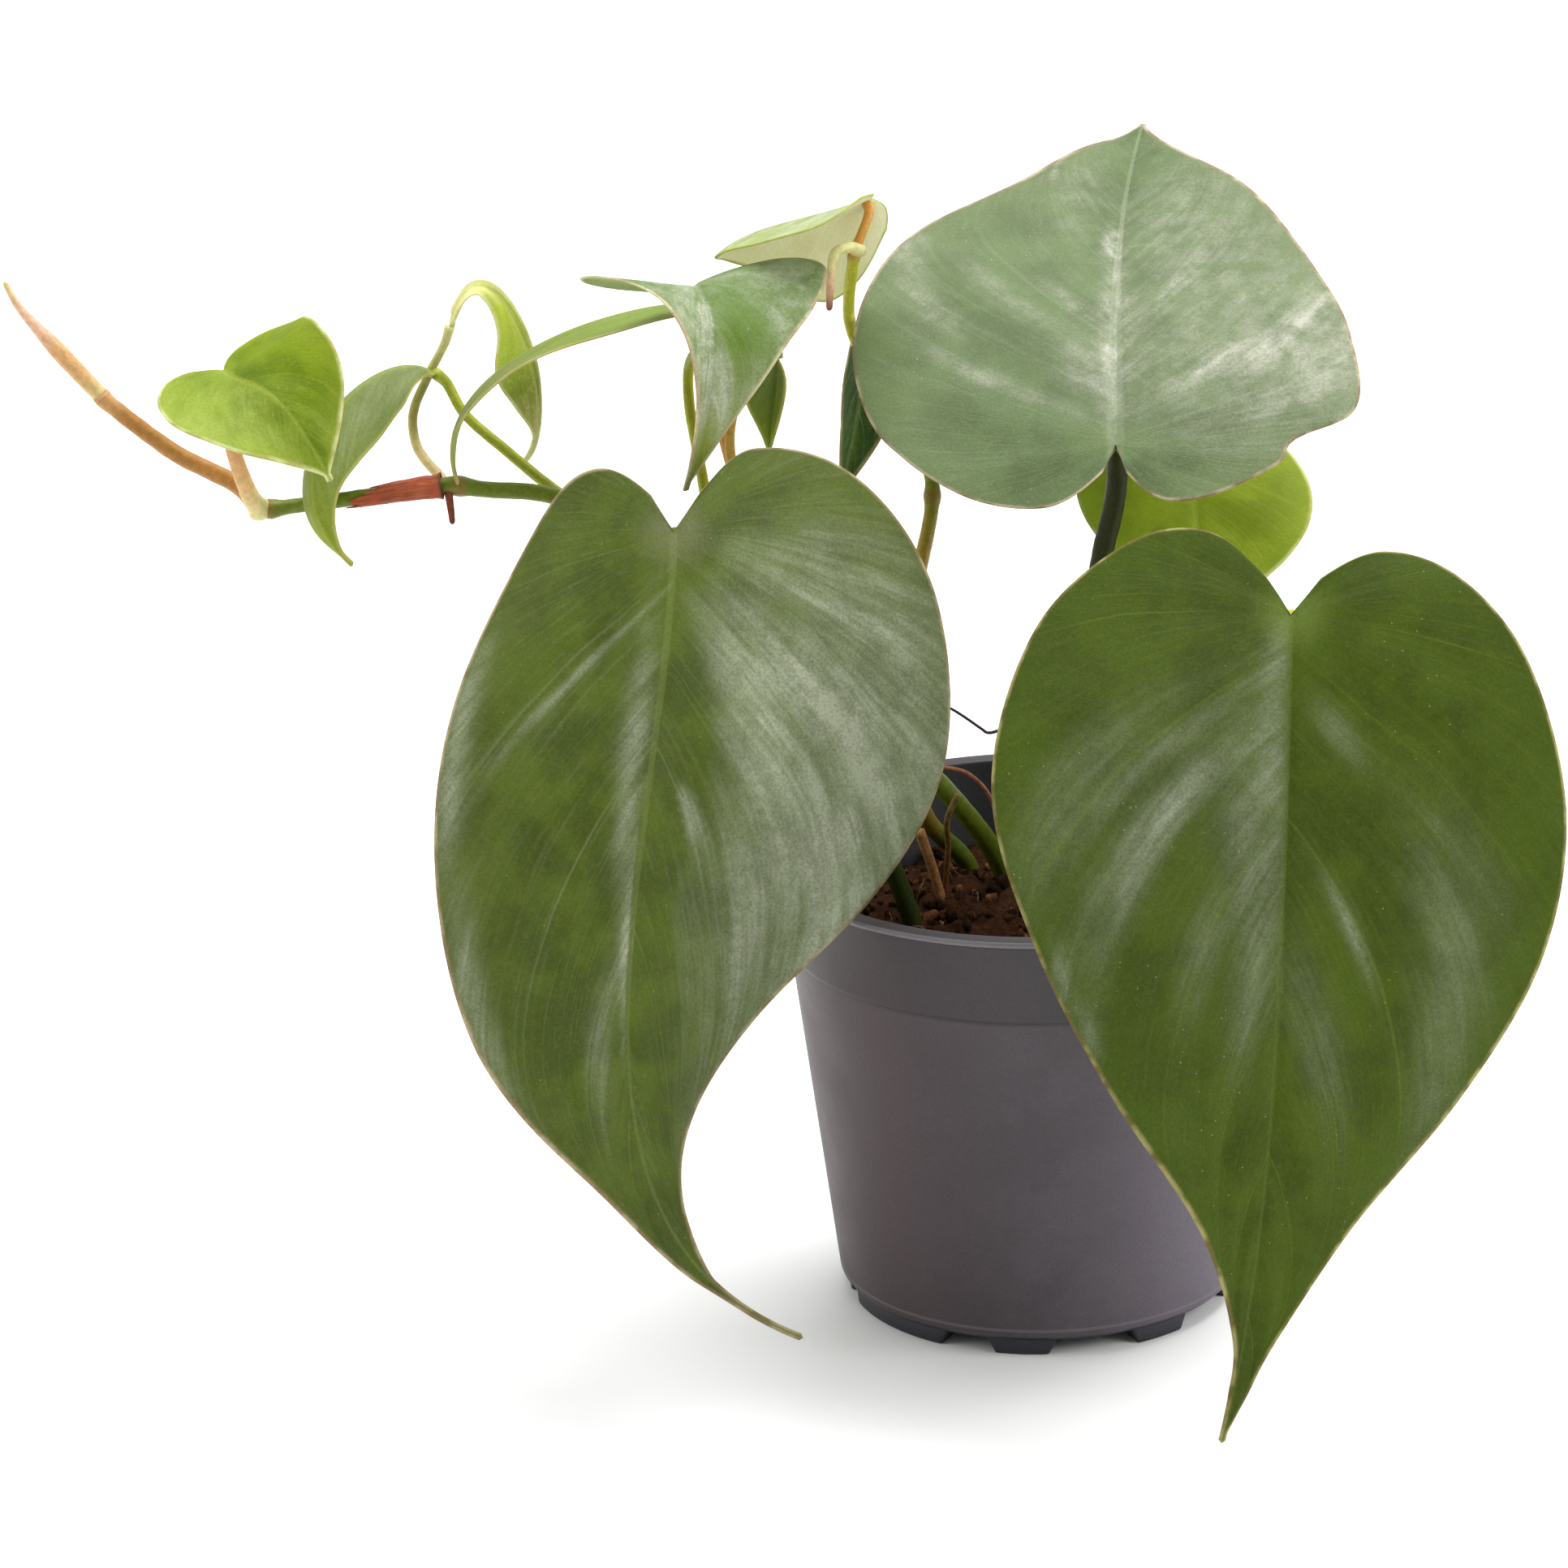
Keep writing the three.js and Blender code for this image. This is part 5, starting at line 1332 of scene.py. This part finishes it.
def soil_finish():
    f = Finish("soil", Specular_IOR_Level=0.1)
    tint = f.attribute("tint", "Color")
    base = f.tone(tint, f.ramp(f.noise(1.4, 4, 0.7), 0.3, 0.7, 0.45, 1.35))
    dust = f.ramp(f.noise(3.0, 4, 0.7), 0.58, 0.72)
    f.base(f.mix(f.times(dust, 0.4), base, colour(112, 76, 54)))
    f.rough(f.ramp(f.noise(0.7, 2), 0.3, 0.7, 0.78, 0.98))
    f.bump(f.noise(2.8, 5, 0.7), 0.35)
    return f.material


piece(build_soil(), soil_finish(), "potting_soil", "soil")


# The dry sheath: a torn papery sleeve round the trailing stem
SHEATH_PATH = [(-63.6, 2, 92.7), (-67.5, 2, 92.25), (-71.5, 2, 91.6), (-75.2, 2, 91.15)]
SHEATH_SIDES = 40
SHEATH_RINGS = 60
SHEATH_WALL = 0.14


def build_sheath():
    curve = centripetal(SHEATH_PATH)
    tangent = unit(np.gradient(curve, axis=0))
    verts, along, turn, scar = [], [], [], []
    for offset in (0, -SHEATH_WALL):
        for i in range(SHEATH_RINGS + 1):
            for j in range(SHEATH_SIDES + 1):
                a = 2 * math.pi * j / SHEATH_SIDES + math.pi / 2
                share = i / SHEATH_RINGS
                torn = 0.82 + 0.18 * noise.noise(Vector(on_circle(2.2, a, 4)))
                torn -= 0.3 * max(0.0, math.sin(a) - 0.1)
                place = share * torn * (len(curve) - 1)
                low = min(int(place), len(curve) - 2)
                centre = curve[low] + (curve[low + 1] - curve[low]) * (place - low)
                t = tangent[low]
                side = unit(np.cross(t, (0, 0, 1.0)))
                up = np.cross(side, t)
                wrinkle = 0.07 * noise.noise(Vector((share * 6, 2.5 * math.cos(a), 2.5 * math.sin(a))))
                r = 1.32 - 0.28 * share + 0.16 * math.exp(-((share / 0.05) ** 2)) + wrinkle
                r += 0.1 * (share > 0.9) * noise.noise(Vector((j * 0.4, 1, 1))) + offset
                verts.append(centre + r * (math.cos(a) * side + math.sin(a) * up))
                along.append(share)
                turn.append(j / SHEATH_SIDES)
                scar.append(math.exp(-((share / 0.03) ** 2)))
    width = SHEATH_SIDES + 1
    count = (SHEATH_RINGS + 1) * width
    last = SHEATH_RINGS * width
    faces = grid_faces(SHEATH_RINGS + 1, width, closed=False)
    faces += [[i + count for i in reversed(face)] for face in faces]
    edges = []
    for j in range(SHEATH_SIDES):
        edges += [(j + 1, j), (last + j, last + j + 1)]
    for i in range(0, last, width):
        edges += [(i, i + width), (i + width + SHEATH_SIDES, i + SHEATH_SIDES)]
    faces += [[a, b, b + count, a + count] for a, b in edges]
    return new_object("sheath_paper", verts, faces, dict(along=along, turn=turn, scar=scar))


def sheath_finish():
    f = Finish("dry_sheath", Subsurface_Weight=0.08, Subsurface_Radius=(0.5 * MM, 0.3 * MM, 0.2 * MM),
               Subsurface_Scale=1.0)
    turn = f.attribute("turn")
    along = f.attribute("along")
    fibres = f.noise(1.0, 4, 0.65, at=f.vector(f.times(turn, 16.0), f.times(along, 2.4), 1.0))
    patch = f.noise(0.7, 3)
    base = f.mix(f.ramp(fibres, 0.35, 0.65), colour(126, 50, 20), colour(176, 86, 44))
    base = f.mix(f.ramp(patch, 0.5, 0.7), base, colour(166, 72, 34))
    base = f.mix(f.attribute("scar"), base, colour(92, 44, 28))
    f.base(base)
    f.rough(f.ramp(patch, 0.3, 0.7, 0.6, 0.8))
    f.bump(fibres, 0.22)
    return f.material


piece(build_sheath(), sheath_finish(), "dry_sheath", "dry_sheath")


# Floor, light and background
FLOOR_REACH = 6000
WORLD_STRENGTH = (0.25, 0.8)


def make_floor():
    corners = [(x * FLOOR_REACH, y * FLOOR_REACH, 0) for x, y in ((-1, -1), (1, -1), (1, 1), (-1, 1))]
    floor = new_object("floor", corners, [[0, 1, 2, 3]])
    f = Finish("floor_paper", Roughness=0.9, Specular_IOR_Level=0.1)
    f.base(f.mix(f.noise(0.02, 2), (0.93, 0.93, 0.93, 1), (0.95, 0.95, 0.95, 1)))
    floor.data.materials.append(f.material)


def add_light(name, place, aim, size, power):
    data = bpy.data.lights.new(name, "AREA")
    data.shape = "RECTANGLE"
    data.size, data.size_y = size, size
    data.energy = power
    light = bpy.data.objects.new(name, data)
    bpy.context.scene.collection.objects.link(light)
    light.location = place
    light.rotation_mode = "QUATERNION"
    light.rotation_quaternion = (Vector(aim) - Vector(place)).to_track_quat("-Z", "Y")


def make_world():
    """A white studio: bright above, behind and at the sides, dimmer on the viewer's side."""
    world = bpy.data.worlds.new("studio")
    world.use_nodes = True
    nodes, links = world.node_tree.nodes, world.node_tree.links
    background = nodes["Background"]
    background.inputs["Color"].default_value = (1, 1, 1, 1)
    coordinates = nodes.new("ShaderNodeTexCoord")
    parts = nodes.new("ShaderNodeSeparateXYZ")
    links.new(coordinates.outputs["Generated"], parts.inputs[0])
    strength = nodes.new("ShaderNodeMapRange")
    strength.inputs["From Min"].default_value = -1
    strength.inputs["From Max"].default_value = 0.3
    strength.inputs["To Min"].default_value, strength.inputs["To Max"].default_value = WORLD_STRENGTH
    links.new(parts.outputs["Y"], strength.inputs["Value"])
    links.new(strength.outputs[0], background.inputs["Strength"])
    bpy.context.scene.world = world


make_floor()
make_world()
add_light("overhead", (0.1, 0.2, 0.9), (0, 0, 0.08), 0.7, 10)
add_light("side_right", (0.75, -0.35, 0.55), (0, 0, 0.07), 0.5, 5)
add_light("side_left", (-0.85, -0.1, 0.4), (0, 0, 0.06), 0.6, 3)
bpy.context.scene.view_settings.view_transform = "Standard"
